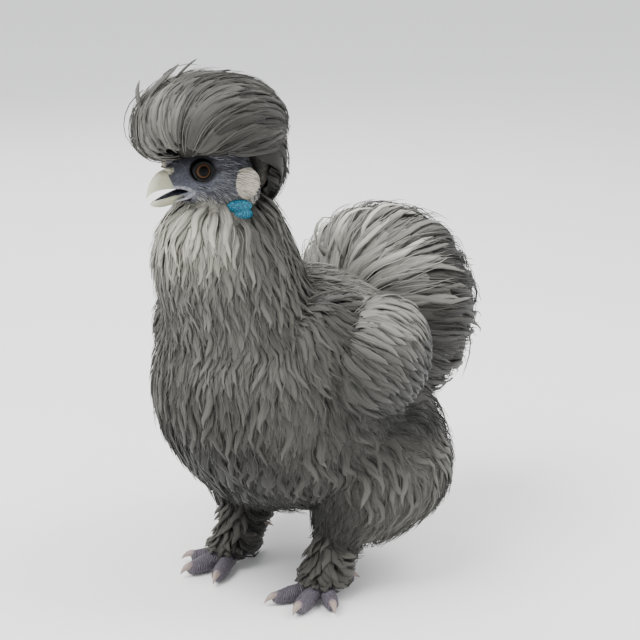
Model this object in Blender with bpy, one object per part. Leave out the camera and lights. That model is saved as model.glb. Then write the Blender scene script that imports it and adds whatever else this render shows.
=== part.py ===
"""A life-size silkie hen, standing, with her head turned a little to her right.

Metres, +Z up. The hen faces -Y, so her left side is +X. She stands on the plane Z = 0.
Each part of the body is one closed solid, set 0.3 mm from its neighbours. The crest, hackles,
breast, wings, tail, thighs and shanks carry flat, tapered locks that overlap along their lie.
"""

import math
import random

import bmesh
import bpy
import numpy as np
from mathutils import Matrix, Vector
from mathutils.bvhtree import BVHTree
from mathutils.interpolate import poly_3d_calc

# The clearance between neighbours, and between a lock and a neighbour that it hangs over
GAP = 0.0003
LOCK_CLEARANCE = 0.0030

# Trunk: distance along Y, height of the middle, half width, reach up, reach down
TRUNK_FRONT = Vector((0.0, -0.105, 0.122))
TRUNK_REAR = Vector((0.0, 0.056, 0.108))
TRUNK_STATIONS = (
    (-0.102, 0.122, 0.026, 0.028, 0.028),
    (-0.091, 0.122, 0.047, 0.048, 0.046),
    (-0.072, 0.122, 0.063, 0.062, 0.064),
    (-0.044, 0.120, 0.072, 0.069, 0.074),
    (-0.012, 0.117, 0.073, 0.068, 0.068),
    (0.016, 0.114, 0.063, 0.060, 0.058),
    (0.038, 0.111, 0.043, 0.044, 0.044),
    (0.051, 0.108, 0.022, 0.024, 0.026),
)
TRUNK_RINGS = 10
TRUNK_SIDES = 16
TRUNK_MIDDLE = Vector((0.0, -0.020, 0.118))
TRUNK_REACH = Vector((0.073, 0.084, 0.070))
BODY_LOCKS = 62
BODY_LOCK_LENGTH = 0.042
BODY_LOCK_WIDTH = 0.0085
BODY_LOCK_THICKNESS = 0.0013

# Neck: middle of each section, half width, half depth, and how far it tips up at the back and turns
NECK_STATIONS = (
    (0.000, -0.060, 0.150, 0.048, 0.037, 0.0, 0.0),
    (0.000, -0.066, 0.172, 0.043, 0.036, 0.0, 4.0),
    (-0.001, -0.071, 0.192, 0.0370, 0.0345, 4.0, 12.0),
    (-0.002, -0.077, 0.208, 0.0305, 0.0305, 12.0, 20.0),
    (-0.003, -0.080, 0.222, 0.0285, 0.0285, 22.0, 28.0),
    (-0.002, -0.082, 0.234, 0.023, 0.024, 30.0, 31.5),
)
NECK_RINGS = 7
NECK_SIDES = 14
NECK_TOP = Vector((-0.002, -0.082, 0.240))
NECK_FOOT = Vector((0.0, -0.056, 0.132))
HACKLE_ROWS = ((0.222, 8), (0.204, 9), (0.186, 9), (0.168, 8))
HACKLE_LENGTH = 0.036
HACKLE_WIDTH = 0.0085
HACKLE_THICKNESS = 0.0013
HACKLE_WAVE = 0.0016

# Head: its own axes run forward, left and up from the point midway between the eyes
HEAD_CENTRE = Vector((-0.004, -0.0937, 0.2533))
HEAD_TURN = math.radians(31.5)
HEAD_STATIONS = (
    (0.0170, -0.0037, 0.0046, 0.0055, 0.0110),
    (0.0120, -0.0028, 0.0072, 0.0092, 0.0138),
    (0.0055, -0.0018, 0.0099, 0.0120, 0.0166),
    (-0.0018, -0.0009, 0.0121, 0.0138, 0.0193),
    (-0.0092, -0.0018, 0.0138, 0.0152, 0.0221),
    (-0.0166, -0.0037, 0.0145, 0.0156, 0.0235),
    (-0.0239, -0.0064, 0.0133, 0.0143, 0.0212),
    (-0.0304, -0.0092, 0.0087, 0.0092, 0.0138),
)
HEAD_FRONT = (0.0184, 0.0, -0.0055)
HEAD_BACK = (-0.0336, 0.0, -0.0110)
HEAD_RINGS = 10
HEAD_SIDES = 14

# Eyes and lids
EYE_RADIUS = 0.0059
EYE_OUT = 0.0072
LID_RADIUS = 0.0052
LID_THICKNESS = 0.0013
LID_OUT = 0.0119
LID_PARTS = 12
LID_SIDES = 4

# Bill: forward, half width, height of the ridge, height of the cutting edge
UPPER_BILL_STATIONS = (
    (0.0129, 0.0061, -0.0009, -0.0093),
    (0.0175, 0.0053, 0.0002, -0.0093),
    (0.0212, 0.0044, -0.0013, -0.0098),
    (0.0239, 0.0033, -0.0038, -0.0108),
    (0.0260, 0.0021, -0.0074, -0.0121),
    (0.0273, 0.0010, -0.0110, -0.0135),
)
UPPER_BILL_TIP = (0.0279, 0.0, -0.0150)
LOWER_BILL_STATIONS = (
    (0.0106, 0.0059, -0.0180, -0.0129),
    (0.0152, 0.0052, -0.0191, -0.0143),
    (0.0198, 0.0040, -0.0199, -0.0157),
    (0.0235, 0.0024, -0.0197, -0.0169),
)
LOWER_BILL_TIP = (0.0258, 0.0, -0.0184)
BILL_TROUGH = 0.0013
GAPE_WIDTH = 0.020
GAPE_OUTLINE = (
    (0.0057, -0.0112),
    (0.0110, -0.0098),
    (0.0313, -0.0096),
    (0.0313, -0.0184),
    (0.0106, -0.0126),
)
TONGUE_STATIONS = (
    (0.0086, 0.0016, -0.0109, -0.0116),
    (0.0120, 0.0026, -0.0114, -0.0126),
    (0.0160, 0.0022, -0.0125, -0.0137),
)
TONGUE_TIP = (0.0200, 0.0, -0.0143)
NOSTRIL = (0.0158, 0.0046, -0.0011)
NOSTRIL_RADII = (0.0016, 0.0013, 0.0009)
NOSTRIL_FLAP = (0.0166, 0.0042, 0.0004)
NOSTRIL_FLAP_RADII = (0.0024, 0.0014, 0.0013)

# Small comb, ear tufts and earlobes
COMB_BULBS = (
    (0.0173, 0.0000, 0.0048, 0.0028),
    (0.0156, 0.0020, 0.0066, 0.0024),
    (0.0156, -0.0020, 0.0068, 0.0024),
    (0.0138, 0.0004, 0.0088, 0.0026),
)
EAR_CENTRE = (-0.0225, 0.0125, -0.0074)
EAR_RADII = (0.0061, 0.0028, 0.0074)
LOBE_CENTRE = (-0.0189, 0.0134, -0.0216)
LOBE_RADII = (0.0068, 0.0024, 0.0053)

# Crest: a dome of locks that rise off the forehead, and a fall of them behind the head
CREST_CENTRE = (-0.0060, 0.0, 0.0265)
CREST_RADII = Vector((0.0440, 0.0385, 0.0262))
NAPE_CENTRE = (-0.0260, 0.0, 0.0040)
NAPE_RADII = Vector((0.0240, 0.0285, 0.0285))
CREST_CORE = 0.50
NAPE_CORE = 0.72
CREST_SOURCE = (0.0140, 0.0, 0.0060)
CREST_SINK = (-0.0560, 0.0, -0.0480)
CREST_SETS = ((0.006, 19, 0.068), (0.054, 16, 0.062))
CREST_LOCK_WIDTH = 0.0082
CREST_LOCK_THICKNESS = 0.0013
CREST_DIVE = 0.0110

# Tail: a ball of arching vanes that springs from the rump
TAIL_CENTRE = Vector((0.0, 0.064, 0.146))
TAIL_RADII = Vector((0.058, 0.055, 0.063))
TAIL_CORE = 0.44
TAIL_SOURCE = Vector((0.0, 0.010, 0.146))
TAIL_SINK = Vector((0.0, 0.180, 0.020))
TAIL_SETS = ((0.018, 20, 0.082), (0.062, 20, 0.074))
TAIL_VANE_WIDTH = 0.0100
TAIL_VANE_THICKNESS = 0.0014
TAIL_DIVE = 0.0340

# Wings: a rounded pad under tiers of soft vanes, and how far its rear end drops
WING_CENTRE = Vector((0.066, -0.024, 0.146))
WING_RADII = Vector((0.0190, 0.0410, 0.0330))
WING_DROP = math.radians(14.0)
WING_TIERS = ((-0.62, 4), (-0.05, 5), (0.52, 4))
WING_VANE_LENGTH = 0.030
WING_VANE_WIDTH = 0.0072
WING_VANE_THICKNESS = 0.0012

# Legs
LEG_X = 0.035
LEG_Y = -0.037
THIGH_STATIONS = (
    (0.040, 0.000, 0.112, 0.026, 0.034),
    (0.043, 0.002, 0.090, 0.034, 0.040),
    (0.043, 0.002, 0.068, 0.034, 0.042),
    (0.042, 0.001, 0.052, 0.030, 0.037),
    (0.039, -0.007, 0.040, 0.023, 0.028),
)
THIGH_TOP = Vector((0.038, 0.000, 0.122))
THIGH_FOOT = Vector((0.0365, -0.018, 0.030))
THIGH_RINGS = 6
THIGH_SIDES = 12
THIGH_ROWS = ((0.100, 8), (0.078, 8), (0.056, 8))
THIGH_LOCK_LENGTH = 0.036
THIGH_LOCK_WIDTH = 0.0085
SHANK_STATIONS = (
    (0.0370, -0.0180, 0.046, 0.0120, 0.0130),
    (0.0360, -0.0230, 0.034, 0.0118, 0.0130),
    (0.0350, -0.0290, 0.022, 0.0110, 0.0120),
    (0.0350, -0.0340, 0.012, 0.0095, 0.0100),
    (0.0350, -0.0375, 0.000, 0.0110, 0.0120),
)
SHANK_SIDES = 9
SHANK_ROWS = ((0.037, 5), (0.029, 5))
SHANK_LOCK_LENGTH = 0.019
SHANK_LOCK_WIDTH = 0.0056
HEEL_HEIGHT = 0.0090
HEEL_RADIUS = 0.0085
FOOT_TURN = math.radians(13.0)
TOE_NAMES = ("inner", "middle", "outer", "hind", "fifth")
TOE_TURNS = (-37.0, 0.0, 39.0, 162.0, -152.0)
TOE_LENGTHS = (0.0330, 0.0335, 0.0265, 0.0250, 0.0190)
TOE_RADII = (0.0043, 0.0047, 0.0043, 0.0036, 0.0031)
TOE_ROOT_HEIGHTS = (0.0095, 0.0105, 0.0095, 0.0080, 0.0180)
TOE_TIP_HEIGHTS = (0.0038, 0.0041, 0.0038, 0.0034, 0.0230)
TOE_SCUTES = (4, 5, 4, 2, 2)
TOE_SIDES = 6
TOE_SAG = 0.0008
SCUTE_RISE = 0.07
TOE_TAPER = 0.12
CLAW_LENGTH = 0.0070
CLAW_SHARE = 0.52
CLAW_LIFT = 0.0006

# Colours, linear, and how rough each surface is
COLOURS = {
    "grey_plumage": ((0.130, 0.130, 0.118), 0.75),
    "pale_plumage": ((0.400, 0.370, 0.310), 0.75),
    "face_skin": ((0.100, 0.105, 0.130), 0.60),
    "horn": ((0.480, 0.470, 0.390), 0.35),
    "mouth": ((0.030, 0.030, 0.045), 0.50),
    "eye": ((0.060, 0.035, 0.020), 0.08),
    "earlobe": ((0.050, 0.350, 0.430), 0.50),
    "foot_skin": ((0.110, 0.100, 0.115), 0.60),
    "claw": ((0.420, 0.360, 0.300), 0.40),
}
SHARP_EDGE = math.radians(50.0)

# Cross-section of a lock, in shares of its half width and of its thickness
LOCK_SECTION = ((-1.0, -0.5), (0.0, 1.0), (1.0, -0.5))

# Width of a lock from root to tip, and how high it lies over the surface that it follows
CREST_TAPER = (0.60, 0.90, 1.10, 1.05, 0.70, 0.0)
TAIL_TAPER = (0.65, 1.00, 1.10, 0.75, 0.0)
BODY_TAPER = (0.65, 1.05, 0.95, 0.60, 0.0)
BODY_LIFT = (-0.0035, 0.0012, 0.0020, 0.0028, 0.0036)
SHANK_LIFT = (-0.0040, 0.0015, 0.0040, 0.0080)
SHANK_TAPER = (0.80, 1.00, 0.70, 0.0)
LAYER_STEP = 0.0021
FLOOR_CLEARANCE = 0.0030

chance = random.Random(7)


def clear_scene():
    for obj in list(bpy.data.objects):
        bpy.data.objects.remove(obj)


def material(name):
    found = bpy.data.materials.get(name)
    if found:
        return found
    colour, roughness = COLOURS[name]
    made = bpy.data.materials.new(name)
    made.use_nodes = True
    shader = made.node_tree.nodes["Principled BSDF"]
    shader.inputs["Base Color"].default_value = (*colour, 1.0)
    shader.inputs["Roughness"].default_value = roughness
    shader.inputs["Metallic"].default_value = 0.0
    return made


def object_from(bm, name):
    """A mesh object from a bmesh, in triangles that face out."""
    bmesh.ops.triangulate(bm, faces=bm.faces)
    bmesh.ops.recalc_face_normals(bm, faces=bm.faces)
    if bm.calc_volume(signed=True) < 0.0:
        bmesh.ops.reverse_faces(bm, faces=bm.faces)
    mesh = bpy.data.meshes.new(name)
    bm.to_mesh(mesh)
    bm.free()
    obj = bpy.data.objects.new(name, mesh)
    bpy.context.scene.collection.objects.link(obj)
    return obj


def finish(obj, name, slot):
    obj.name = name
    obj.data.name = name
    obj.data.materials.clear()
    obj.data.materials.append(material(slot))
    for polygon in obj.data.polygons:
        polygon.material_index = 0
    obj.data.shade_smooth()
    obj.data.set_sharp_from_angle(angle=SHARP_EDGE)
    return obj


def smooth_rows(rows, count):
    """Rows of numbers read from a smooth curve through the given rows."""
    rows = np.array(rows, float)
    padded = np.vstack([2 * rows[0] - rows[1], rows, 2 * rows[-1] - rows[-2]])
    made = []
    for place in np.linspace(0, len(rows) - 1, count):
        i = min(int(place), len(rows) - 2)
        t = place - i
        a, b, c, d = padded[i : i + 4]
        made.append(
            0.5 * (2 * b + (c - a) * t + (2 * a - 5 * b + 4 * c - d) * t**2 + (3 * b - a - 3 * c + d) * t**3)
        )
    return made


def oval(centre, across, up, half_width, rise, drop, sides):
    """A ring of points, half_width to each side, reaching rise above the centre and drop below it."""
    points = []
    for i in range(sides):
        angle = 2 * math.pi * (i + 0.5) / sides
        tall = math.sin(angle) * (rise if math.sin(angle) > 0 else drop)
        points.append(centre + across * (math.cos(angle) * half_width) + up * tall)
    return points


def loft(name, rings, first_pole=None, last_pole=None):
    """A closed skin over rings of equal length, each end closed by a fan to its pole or by a flat cap.

    Every square between two rings is split along the same diagonal.
    """
    bm = bmesh.new()
    loops = [[bm.verts.new(point) for point in ring] for ring in rings]
    around = range(len(loops[0]))
    for low, high in zip(loops, loops[1:]):
        for i in around:
            bm.faces.new((low[i], low[i - 1], high[i - 1]))
            bm.faces.new((low[i], high[i - 1], high[i]))
    for loop, pole in ((loops[0], first_pole), (loops[-1], last_pole)):
        if pole is None:
            bm.faces.new(loop)
            continue
        end = bm.verts.new(pole)
        for i in around:
            bm.faces.new((loop[i - 1], loop[i], end))
    return object_from(bm, name)


def ball(name, centre, radii, axes=Matrix.Identity(3), detail=2):
    """A faceted ellipsoid with its radii along the given axes."""
    bm = bmesh.new()
    bmesh.ops.create_icosphere(bm, subdivisions=detail, radius=1.0)
    shape = Matrix.Translation(centre) @ axes.to_4x4() @ Matrix.Diagonal((*radii, 1.0))
    bmesh.ops.transform(bm, matrix=shape, verts=bm.verts)
    return object_from(bm, name)


def keep_largest(obj):
    """Leaves only the largest closed surface, which fills sealed hollows and drops loose scraps."""
    bm = bmesh.new()
    bm.from_mesh(obj.data)
    unseen = set(bm.faces)
    islands = []
    while unseen:
        island = {unseen.pop()}
        growing = list(island)
        while growing:
            face = growing.pop()
            for edge in face.edges:
                touching = [other for other in edge.link_faces if other in unseen]
                if len(edge.link_faces) == 2 and touching:
                    unseen.remove(touching[0])
                    island.add(touching[0])
                    growing.append(touching[0])
        islands.append(island)

    def span(island):
        places = [vert.co for face in island for vert in face.verts]
        return math.dist(*([pick(p[i] for p in places) for i in range(3)] for pick in (min, max)))

    islands.sort(key=span, reverse=True)
    dropped = [face for island in islands[1:] for face in island]
    bmesh.ops.delete(bm, geom=dropped, context="FACES")
    bm.to_mesh(obj.data)
    bm.free()


def combine(obj, others, operation):
    """One Boolean with a collection of closed objects, applied, with those objects then removed."""
    group = bpy.data.collections.new("pieces")
    bpy.context.scene.collection.children.link(group)
    for other in others:
        group.objects.link(other)
    boolean = obj.modifiers.new("combine", "BOOLEAN")
    boolean.operation = operation
    boolean.operand_type = "COLLECTION"
    boolean.collection = group
    boolean.solver = "MANIFOLD"
    graph = bpy.context.evaluated_depsgraph_get()
    mesh = bpy.data.meshes.new_from_object(obj.evaluated_get(graph))
    obj.modifiers.clear()
    obj.data = mesh
    for other in others:
        bpy.data.objects.remove(other)
    bpy.data.collections.remove(group)
    keep_largest(obj)
    return obj


def fuse(obj, pieces):
    return combine(obj, pieces, "UNION") if pieces else obj


def shell(obj):
    """A mesh of the object with its faces moved out by the clearance."""
    bm = bmesh.new()
    bm.from_mesh(obj.data)
    bm.normal_update()
    moves = [vert.normal * GAP * min(vert.calc_shell_factor(), 2.5) for vert in bm.verts]
    for vert, move in zip(bm.verts, moves):
        vert.co += move
    mesh = bpy.data.meshes.new("shell")
    bm.to_mesh(mesh)
    bm.free()
    return mesh


def shells(objects):
    return [shell(obj) for obj in objects]


def cut(obj, meshes):
    """Takes closed shapes out of the object."""
    cutters = []
    for mesh in meshes:
        cutters.append(bpy.data.objects.new("cutter", mesh))
        bpy.context.scene.collection.objects.link(cutters[-1])
    return combine(obj, cutters, "DIFFERENCE")


def meshes_of(objects):
    """The meshes of objects that are themselves no longer needed."""
    meshes = [obj.data for obj in objects]
    for obj in objects:
        bpy.data.objects.remove(obj)
    return meshes


class Skin:
    """The surface of closed objects, for locks to follow or to keep clear of."""

    def __init__(self, objects):
        bm = bmesh.new()
        for obj in objects:
            bm.from_mesh(obj.data)
        bmesh.ops.triangulate(bm, faces=bm.faces)
        bm.normal_update()
        self.tree = BVHTree.FromBMesh(bm)
        self.corners = [[(vert.co.copy(), vert.normal.copy()) for vert in face.verts] for face in bm.faces]
        bm.free()

    def nearest(self, point):
        """The nearest place on the surface, with the smooth normal there."""
        place, _, index, _ = self.tree.find_nearest(point)
        places, normals = zip(*self.corners[index])
        shares = poly_3d_calc(places, place)
        return place, sum((normal * share for normal, share in zip(normals, shares)), Vector()).normalized()

    def inside(self, point):
        """Whether a ray straight up from the point leaves the surface an odd number of times."""
        crossed = False
        while True:
            place, _, _, _ = self.tree.ray_cast(point, Vector((0.0, 0.0, 1.0)))
            if place is None:
                return crossed
            crossed = not crossed
            point = place + Vector((0.0, 0.0, 1e-6))

    def height(self, point):
        """How far outside the surface the point is, less than nothing inside it."""
        distance = (point - self.nearest(point)[0]).length
        return -distance if self.inside(point) else distance


def follow(surface, root, heading, length, steps):
    """Points and normals along the surface from the root, each step turned to the heading there."""
    place, normal = surface.nearest(root)
    trail = [(place, normal)]
    for _ in range(steps):
        way = heading(place)
        way = (way - normal * way.dot(normal)).normalized()
        place, normal = surface.nearest(place + way * (length / steps))
        trail.append((place, normal))
    return trail


def lock_frames(trail, heights, width, thickness, taper, wave):
    """Middle, side, normal, half width and thickness of each section of a lock along a trail."""
    frames = []
    last = len(trail) - 1
    phase = chance.uniform(0.0, 2 * math.pi)
    for i, (place, _) in enumerate(trail):
        level = max(i, 1)
        normal = trail[level][1]
        along = (trail[min(level + 1, last)][0] - trail[level - 1][0]).normalized()
        side = along.cross(normal).normalized()
        bend = side * (wave * math.sin(phase + 2 * math.pi * i / last))
        tall = thickness * (0.45 + 0.55 * taper[i])
        frames.append((place + normal * heights[i] + bend, side, normal, width * taper[i], tall))
    return frames


def lock_solid(frames):
    """A flat lock with a low ridge, which runs to a point."""
    rings = [
        [centre + side * (half * s) + normal * (tall * h) for s, h in LOCK_SECTION]
        for centre, side, normal, half, tall in frames[:-1]
    ]
    return loft("lock", rings, None, frames[-1][0])


def lock_room(frames):
    """The lock with the clearance all round it and past both ends."""
    rings = []
    for i, (centre, side, normal, half, tall) in enumerate(frames):
        out = half + GAP
        spare = GAP * (2.0 if i < 2 else 1.0)
        low, high, ridge = -0.5 * tall - spare, -0.5 * tall + GAP, tall + spare
        corners = ((-out, low), (-out, high), (0.0, ridge), (out, high), (out, low))
        rings.append([centre + side * s + normal * h for s, h in corners])
    for end, inner in ((0, 1), (-1, -2)):
        centre, side, normal, _, _ = frames[end]
        way = (centre - frames[inner][0]).normalized()
        past = way * GAP / max(abs(way.dot(normal.cross(side))), 0.3)
        rings[end] = [point + past for point in rings[end]]
    made = loft("room", rings)
    return meshes_of([made])[0]


def crosses_itself(mesh):
    """Whether any two faces of a mesh that share no corner cut through each other."""
    bm = bmesh.new()
    bm.from_mesh(mesh)
    bm.faces.ensure_lookup_table()
    tree = BVHTree.FromBMesh(bm)
    corners = [{vert.index for vert in face.verts} for face in bm.faces]
    bm.free()
    return any(not corners[a] & corners[b] for a, b in tree.overlap(tree))


class Locks:
    """Locks that have found room beside their neighbours, and the room that they need in turn."""

    def __init__(self, neighbours=()):
        self.neighbours = neighbours
        self.solids = []
        self.rooms = []

    def grow(self, trail, heights, width, thickness, taper, start=0, wave=0.0):
        """Adds a lock unless it crosses itself, nears the floor or, from a section on, a neighbour."""
        frames = lock_frames(trail, heights, varied(width), thickness, taper, wave)
        near = (
            neighbour.height(frame[0]) < LOCK_CLEARANCE
            for frame in frames[start:]
            for neighbour in self.neighbours
        )
        if any(near):
            return
        solid = lock_solid(frames)
        lowest = min(vert.co.z for vert in solid.data.vertices)
        if lowest < FLOOR_CLEARANCE or crosses_itself(solid.data):
            bpy.data.objects.remove(solid)
            return
        self.solids.append(solid)
        self.rooms.append(lock_room(frames))


def dipole(source, sink):
    """The lie of feathers that leave one point and gather at another."""

    def heading(point):
        away = point - source
        towards = sink - point
        return away / away.length_squared + towards / towards.length_squared

    return heading


def spread_directions(count):
    """Evenly scattered directions."""
    golden = math.pi * (3.0 - math.sqrt(5.0))
    for i in range(count):
        z = 1.0 - 2.0 * (i + 0.5) / count
        flat = math.sqrt(1.0 - z * z)
        yield Vector((flat * math.cos(golden * i), flat * math.sin(golden * i), z))


def fan(surface, source, heading, sets, dive, lift, steps):
    """Trails that leave a point of the surface all round, with the heights of a lock along each.

    A set starts at a distance from the source, and its trails lie in three layers by turns.
    """
    start, normal = surface.nearest(source)
    aside = normal.cross(Vector((0.0, 0.3, 1.0))).normalized()
    ahead = normal.cross(aside)
    for offset, (distance, count, length) in enumerate(sets):
        for i in range(count):
            angle = 2 * math.pi * (i + 0.5 * offset) / count
            away = aside * math.cos(angle) + ahead * math.sin(angle)
            way = follow(surface, start + away * 0.006, heading, varied(distance), 6)
            trail = follow(surface, way[-1][0], heading, varied(length), steps)
            layer = -LAYER_STEP * (i % 3 + 0.5 * offset)
            yield trail, [layer - dive, layer - 0.0010, *[layer] * (steps - 2), layer + varied(lift)]


def rows_of_roots(rows, centre_at, reach):
    """Points round a body of upright rows, staggered from row to row."""
    for number, (height, count) in enumerate(rows):
        middle = centre_at(height)
        for i in range(count):
            angle = 2 * math.pi * (i + 0.5 * (number % 2) + chance.uniform(-0.15, 0.15)) / count
            yield middle + Vector((math.cos(angle), math.sin(angle), 0.0)) * reach


def varied(size):
    return size * chance.uniform(0.86, 1.14)


def head_axes():
    forward = Vector((-math.sin(HEAD_TURN), -math.cos(HEAD_TURN), 0.0))
    left = Vector((math.cos(HEAD_TURN), -math.sin(HEAD_TURN), 0.0))
    return Matrix((forward, left, (0.0, 0.0, 1.0))).transposed()


HEAD_AXES = head_axes()
FORWARD, LEFT, UP = (HEAD_AXES.col[i].copy() for i in range(3))


def on_head(forward, left, up):
    return HEAD_CENTRE + FORWARD * forward + LEFT * left + UP * up


def head_ball(name, centre, radii, detail=2):
    return ball(name, on_head(*centre), radii, HEAD_AXES, detail)


def other_side(point, side):
    return Vector((point.x * side, point.y, point.z))


def bill_loft(name, stations, tip, trough):
    """Half a bill: an arched ridge over a flat or hollowed cutting face."""
    rings = []
    for forward, half, ridge, edge in stations:
        ring = []
        for i in range(7):
            angle = math.pi * i / 6
            height = edge + (ridge - edge) * math.sin(angle)
            ring.append(on_head(forward, half * math.cos(angle), height))
        for share in (-0.5, 0.0, 0.5):
            ring.append(on_head(forward, half * share, edge - trough * (1.0 - abs(share))))
        rings.append(ring)
    return finish(loft(name, rings, None, on_head(*tip)), name, "horn")


def tongue():
    rings = []
    for forward, half, top, bottom in TONGUE_STATIONS:
        middle, tall = (top + bottom) / 2, (top - bottom) / 2
        rings.append(oval(on_head(forward, 0.0, middle), LEFT, UP, half, tall, tall, 8))
    return finish(loft("tongue", rings, None, on_head(*TONGUE_TIP)), "tongue", "mouth")


def lid_ring(side):
    """A soft ring round the eye's opening, where the lids fold."""
    middle = on_head(0.0, side * LID_OUT, 0.0)
    bm = bmesh.new()
    loops = []
    for i in range(LID_PARTS):
        angle = 2 * math.pi * i / LID_PARTS
        spoke = FORWARD * math.cos(angle) + UP * math.sin(angle)
        centre = middle + spoke * LID_RADIUS
        points = oval(centre, spoke, LEFT * side, *[LID_THICKNESS] * 3, LID_SIDES)
        loops.append([bm.verts.new(point) for point in points])
    for i, loop in enumerate(loops):
        for j in range(LID_SIDES):
            bm.faces.new((loop[j], loop[j - 1], loops[i - 1][j - 1], loops[i - 1][j]))
    return object_from(bm, "lid")


def gape():
    """The open mouth, seen from the side, run right across the head."""
    rings = [[on_head(f, side * GAPE_WIDTH, u) for f, u in GAPE_OUTLINE] for side in (-1, 1)]
    return loft("gape", rings)


def head(bill_room):
    """The skull with its lids and nostril flaps, and the shells of these."""
    rings = [
        oval(on_head(forward, 0.0, middle), LEFT, UP, half, rise, drop, HEAD_SIDES)
        for forward, middle, half, rise, drop in smooth_rows(HEAD_STATIONS, HEAD_RINGS)
    ]
    skull = loft("head", rings, on_head(*HEAD_FRONT), on_head(*HEAD_BACK))
    raised = []
    hollows = [gape()]
    for side in (-1, 1):
        raised.append(lid_ring(side))
        forward, left, up = NOSTRIL_FLAP
        raised.append(head_ball("flap", (forward, side * left, up), NOSTRIL_FLAP_RADII, 1))
        forward, left, up = NOSTRIL
        hollows.append(head_ball("nostril", (forward, side * left, up), NOSTRIL_RADII, 1))
        hollows.append(head_ball("socket", (0.0, side * EYE_OUT, 0.0), [EYE_RADIUS + GAP] * 3))
    room = shells([skull, *raised])
    fuse(skull, raised)
    cut(skull, meshes_of(hollows))
    cut(skull, bill_room)
    return finish(skull, "head", "face_skin"), room


def eye(side, name):
    return finish(head_ball(name, (0.0, side * EYE_OUT, 0.0), [EYE_RADIUS] * 3), name, "eye")


def comb(head_room):
    made, *others = [
        head_ball("bulb", (forward, left, up), [radius] * 3, 1) for forward, left, up, radius in COMB_BULBS
    ]
    room = shells([made, *others])
    fuse(made, others)
    cut(made, head_room)
    finish(made, "comb", "face_skin")
    return room


def cheek_pad(name, centre, radii, side, slot, head_room):
    """An ear tuft or an earlobe, flat against the side of the head."""
    forward, left, up = centre
    pad = head_ball(name, (forward, side * left, up), radii)
    room = shells([pad])
    cut(pad, head_room)
    finish(pad, name, slot)
    return room


def soften(obj, times):
    """Rounds off the creases of an object."""
    bm = bmesh.new()
    bm.from_mesh(obj.data)
    bmesh.ops.triangulate(bm, faces=bm.faces)
    for _ in range(times):
        bmesh.ops.smooth_vert(
            bm, verts=bm.verts, factor=0.5, use_axis_x=True, use_axis_y=True, use_axis_z=True
        )
    bm.to_mesh(obj.data)
    bm.free()


def crest_form(name, dome_share, nape_share, detail=2):
    """The dome over the head and the fall behind it, each at a share of its full size."""
    dome = head_ball(name, CREST_CENTRE, CREST_RADII * dome_share, detail)
    nape = head_ball("nape", NAPE_CENTRE, NAPE_RADII * nape_share, detail)
    return fuse(dome, [nape])


def crest(room, head_skin):
    outer = crest_form("outer", 1.0, 1.0, 3)
    soften(outer, 6)
    surface = Skin([outer])
    bpy.data.objects.remove(outer)
    heading = dipole(on_head(*CREST_SOURCE), on_head(*CREST_SINK))
    locks = Locks([head_skin])
    size = (CREST_LOCK_WIDTH, CREST_LOCK_THICKNESS, CREST_TAPER)
    for trail, heights in fan(surface, on_head(*CREST_SOURCE), heading, CREST_SETS, CREST_DIVE, 0.0015, 5):
        locks.grow(trail, heights, *size, 2)
    made = crest_form("crest", CREST_CORE, NAPE_CORE)
    own_room = shells([made]) + locks.rooms
    fuse(made, locks.solids)
    cut(made, room)
    return finish(made, "crest", "grey_plumage"), own_room


def neck_centre(height):
    """The middle of the neck at a height."""
    xs, ys, zs = zip(*(station[:3] for station in NECK_STATIONS))
    return Vector((np.interp(height, zs, xs), np.interp(height, zs, ys), height))


def neck_form():
    rings = []
    for x, y, z, half, depth, tip, turn in smooth_rows(NECK_STATIONS, NECK_RINGS):
        turned = Matrix.Rotation(-math.radians(turn), 3, "Z")
        back = turned @ Vector((0.0, math.cos(math.radians(tip)), math.sin(math.radians(tip))))
        across = turned @ Vector((1.0, 0.0, 0.0))
        rings.append(oval(Vector((x, y, z)), across, back, half, depth, depth, NECK_SIDES))
    return loft("neck", rings, NECK_FOOT, NECK_TOP)


def neck(room, crest_skin):
    """The neck, with hackles that run down it and over the top of the breast and the shoulders."""
    made = neck_form()
    neck_skin = Skin([made])
    outer = fuse(neck_form(), [trunk()])
    surface = Skin([outer])
    bpy.data.objects.remove(outer)

    def down(point):
        return Vector((0.0, 0.35 if point.y > -0.07 else 0.0, -1.0))

    locks = Locks([crest_skin])
    size = (HACKLE_WIDTH, HACKLE_THICKNESS, BODY_TAPER)
    for root in rows_of_roots(HACKLE_ROWS, neck_centre, 0.060):
        place, _ = neck_skin.nearest(root)
        if surface.height(place) < -0.001:
            continue
        trail = follow(surface, place, down, varied(HACKLE_LENGTH), 4)
        locks.grow(trail, BODY_LIFT, *size, 1, HACKLE_WAVE)
    own_room = shells([made]) + locks.rooms
    fuse(made, locks.solids)
    cut(made, room)
    return finish(made, "neck", "pale_plumage"), own_room


def trunk():
    rings = [
        oval(Vector((0.0, y, z)), Vector((1, 0, 0)), Vector((0, 0, 1)), half, rise, drop, TRUNK_SIDES)
        for y, z, half, rise, drop in smooth_rows(TRUNK_STATIONS, TRUNK_RINGS)
    ]
    return loft("torso", rings, TRUNK_FRONT, TRUNK_REAR)


def body_lie(point):
    """Feathers run down the breast, back and down along the flanks, and back over the saddle."""
    share = (point.y - TRUNK_FRONT.y) / (TRUNK_REAR.y - TRUNK_FRONT.y)
    spread = math.copysign(0.25, point.x) * (1.0 - share)
    return Vector((spread, 0.15 + 1.2 * share, -1.0 + 0.8 * share))


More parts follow.
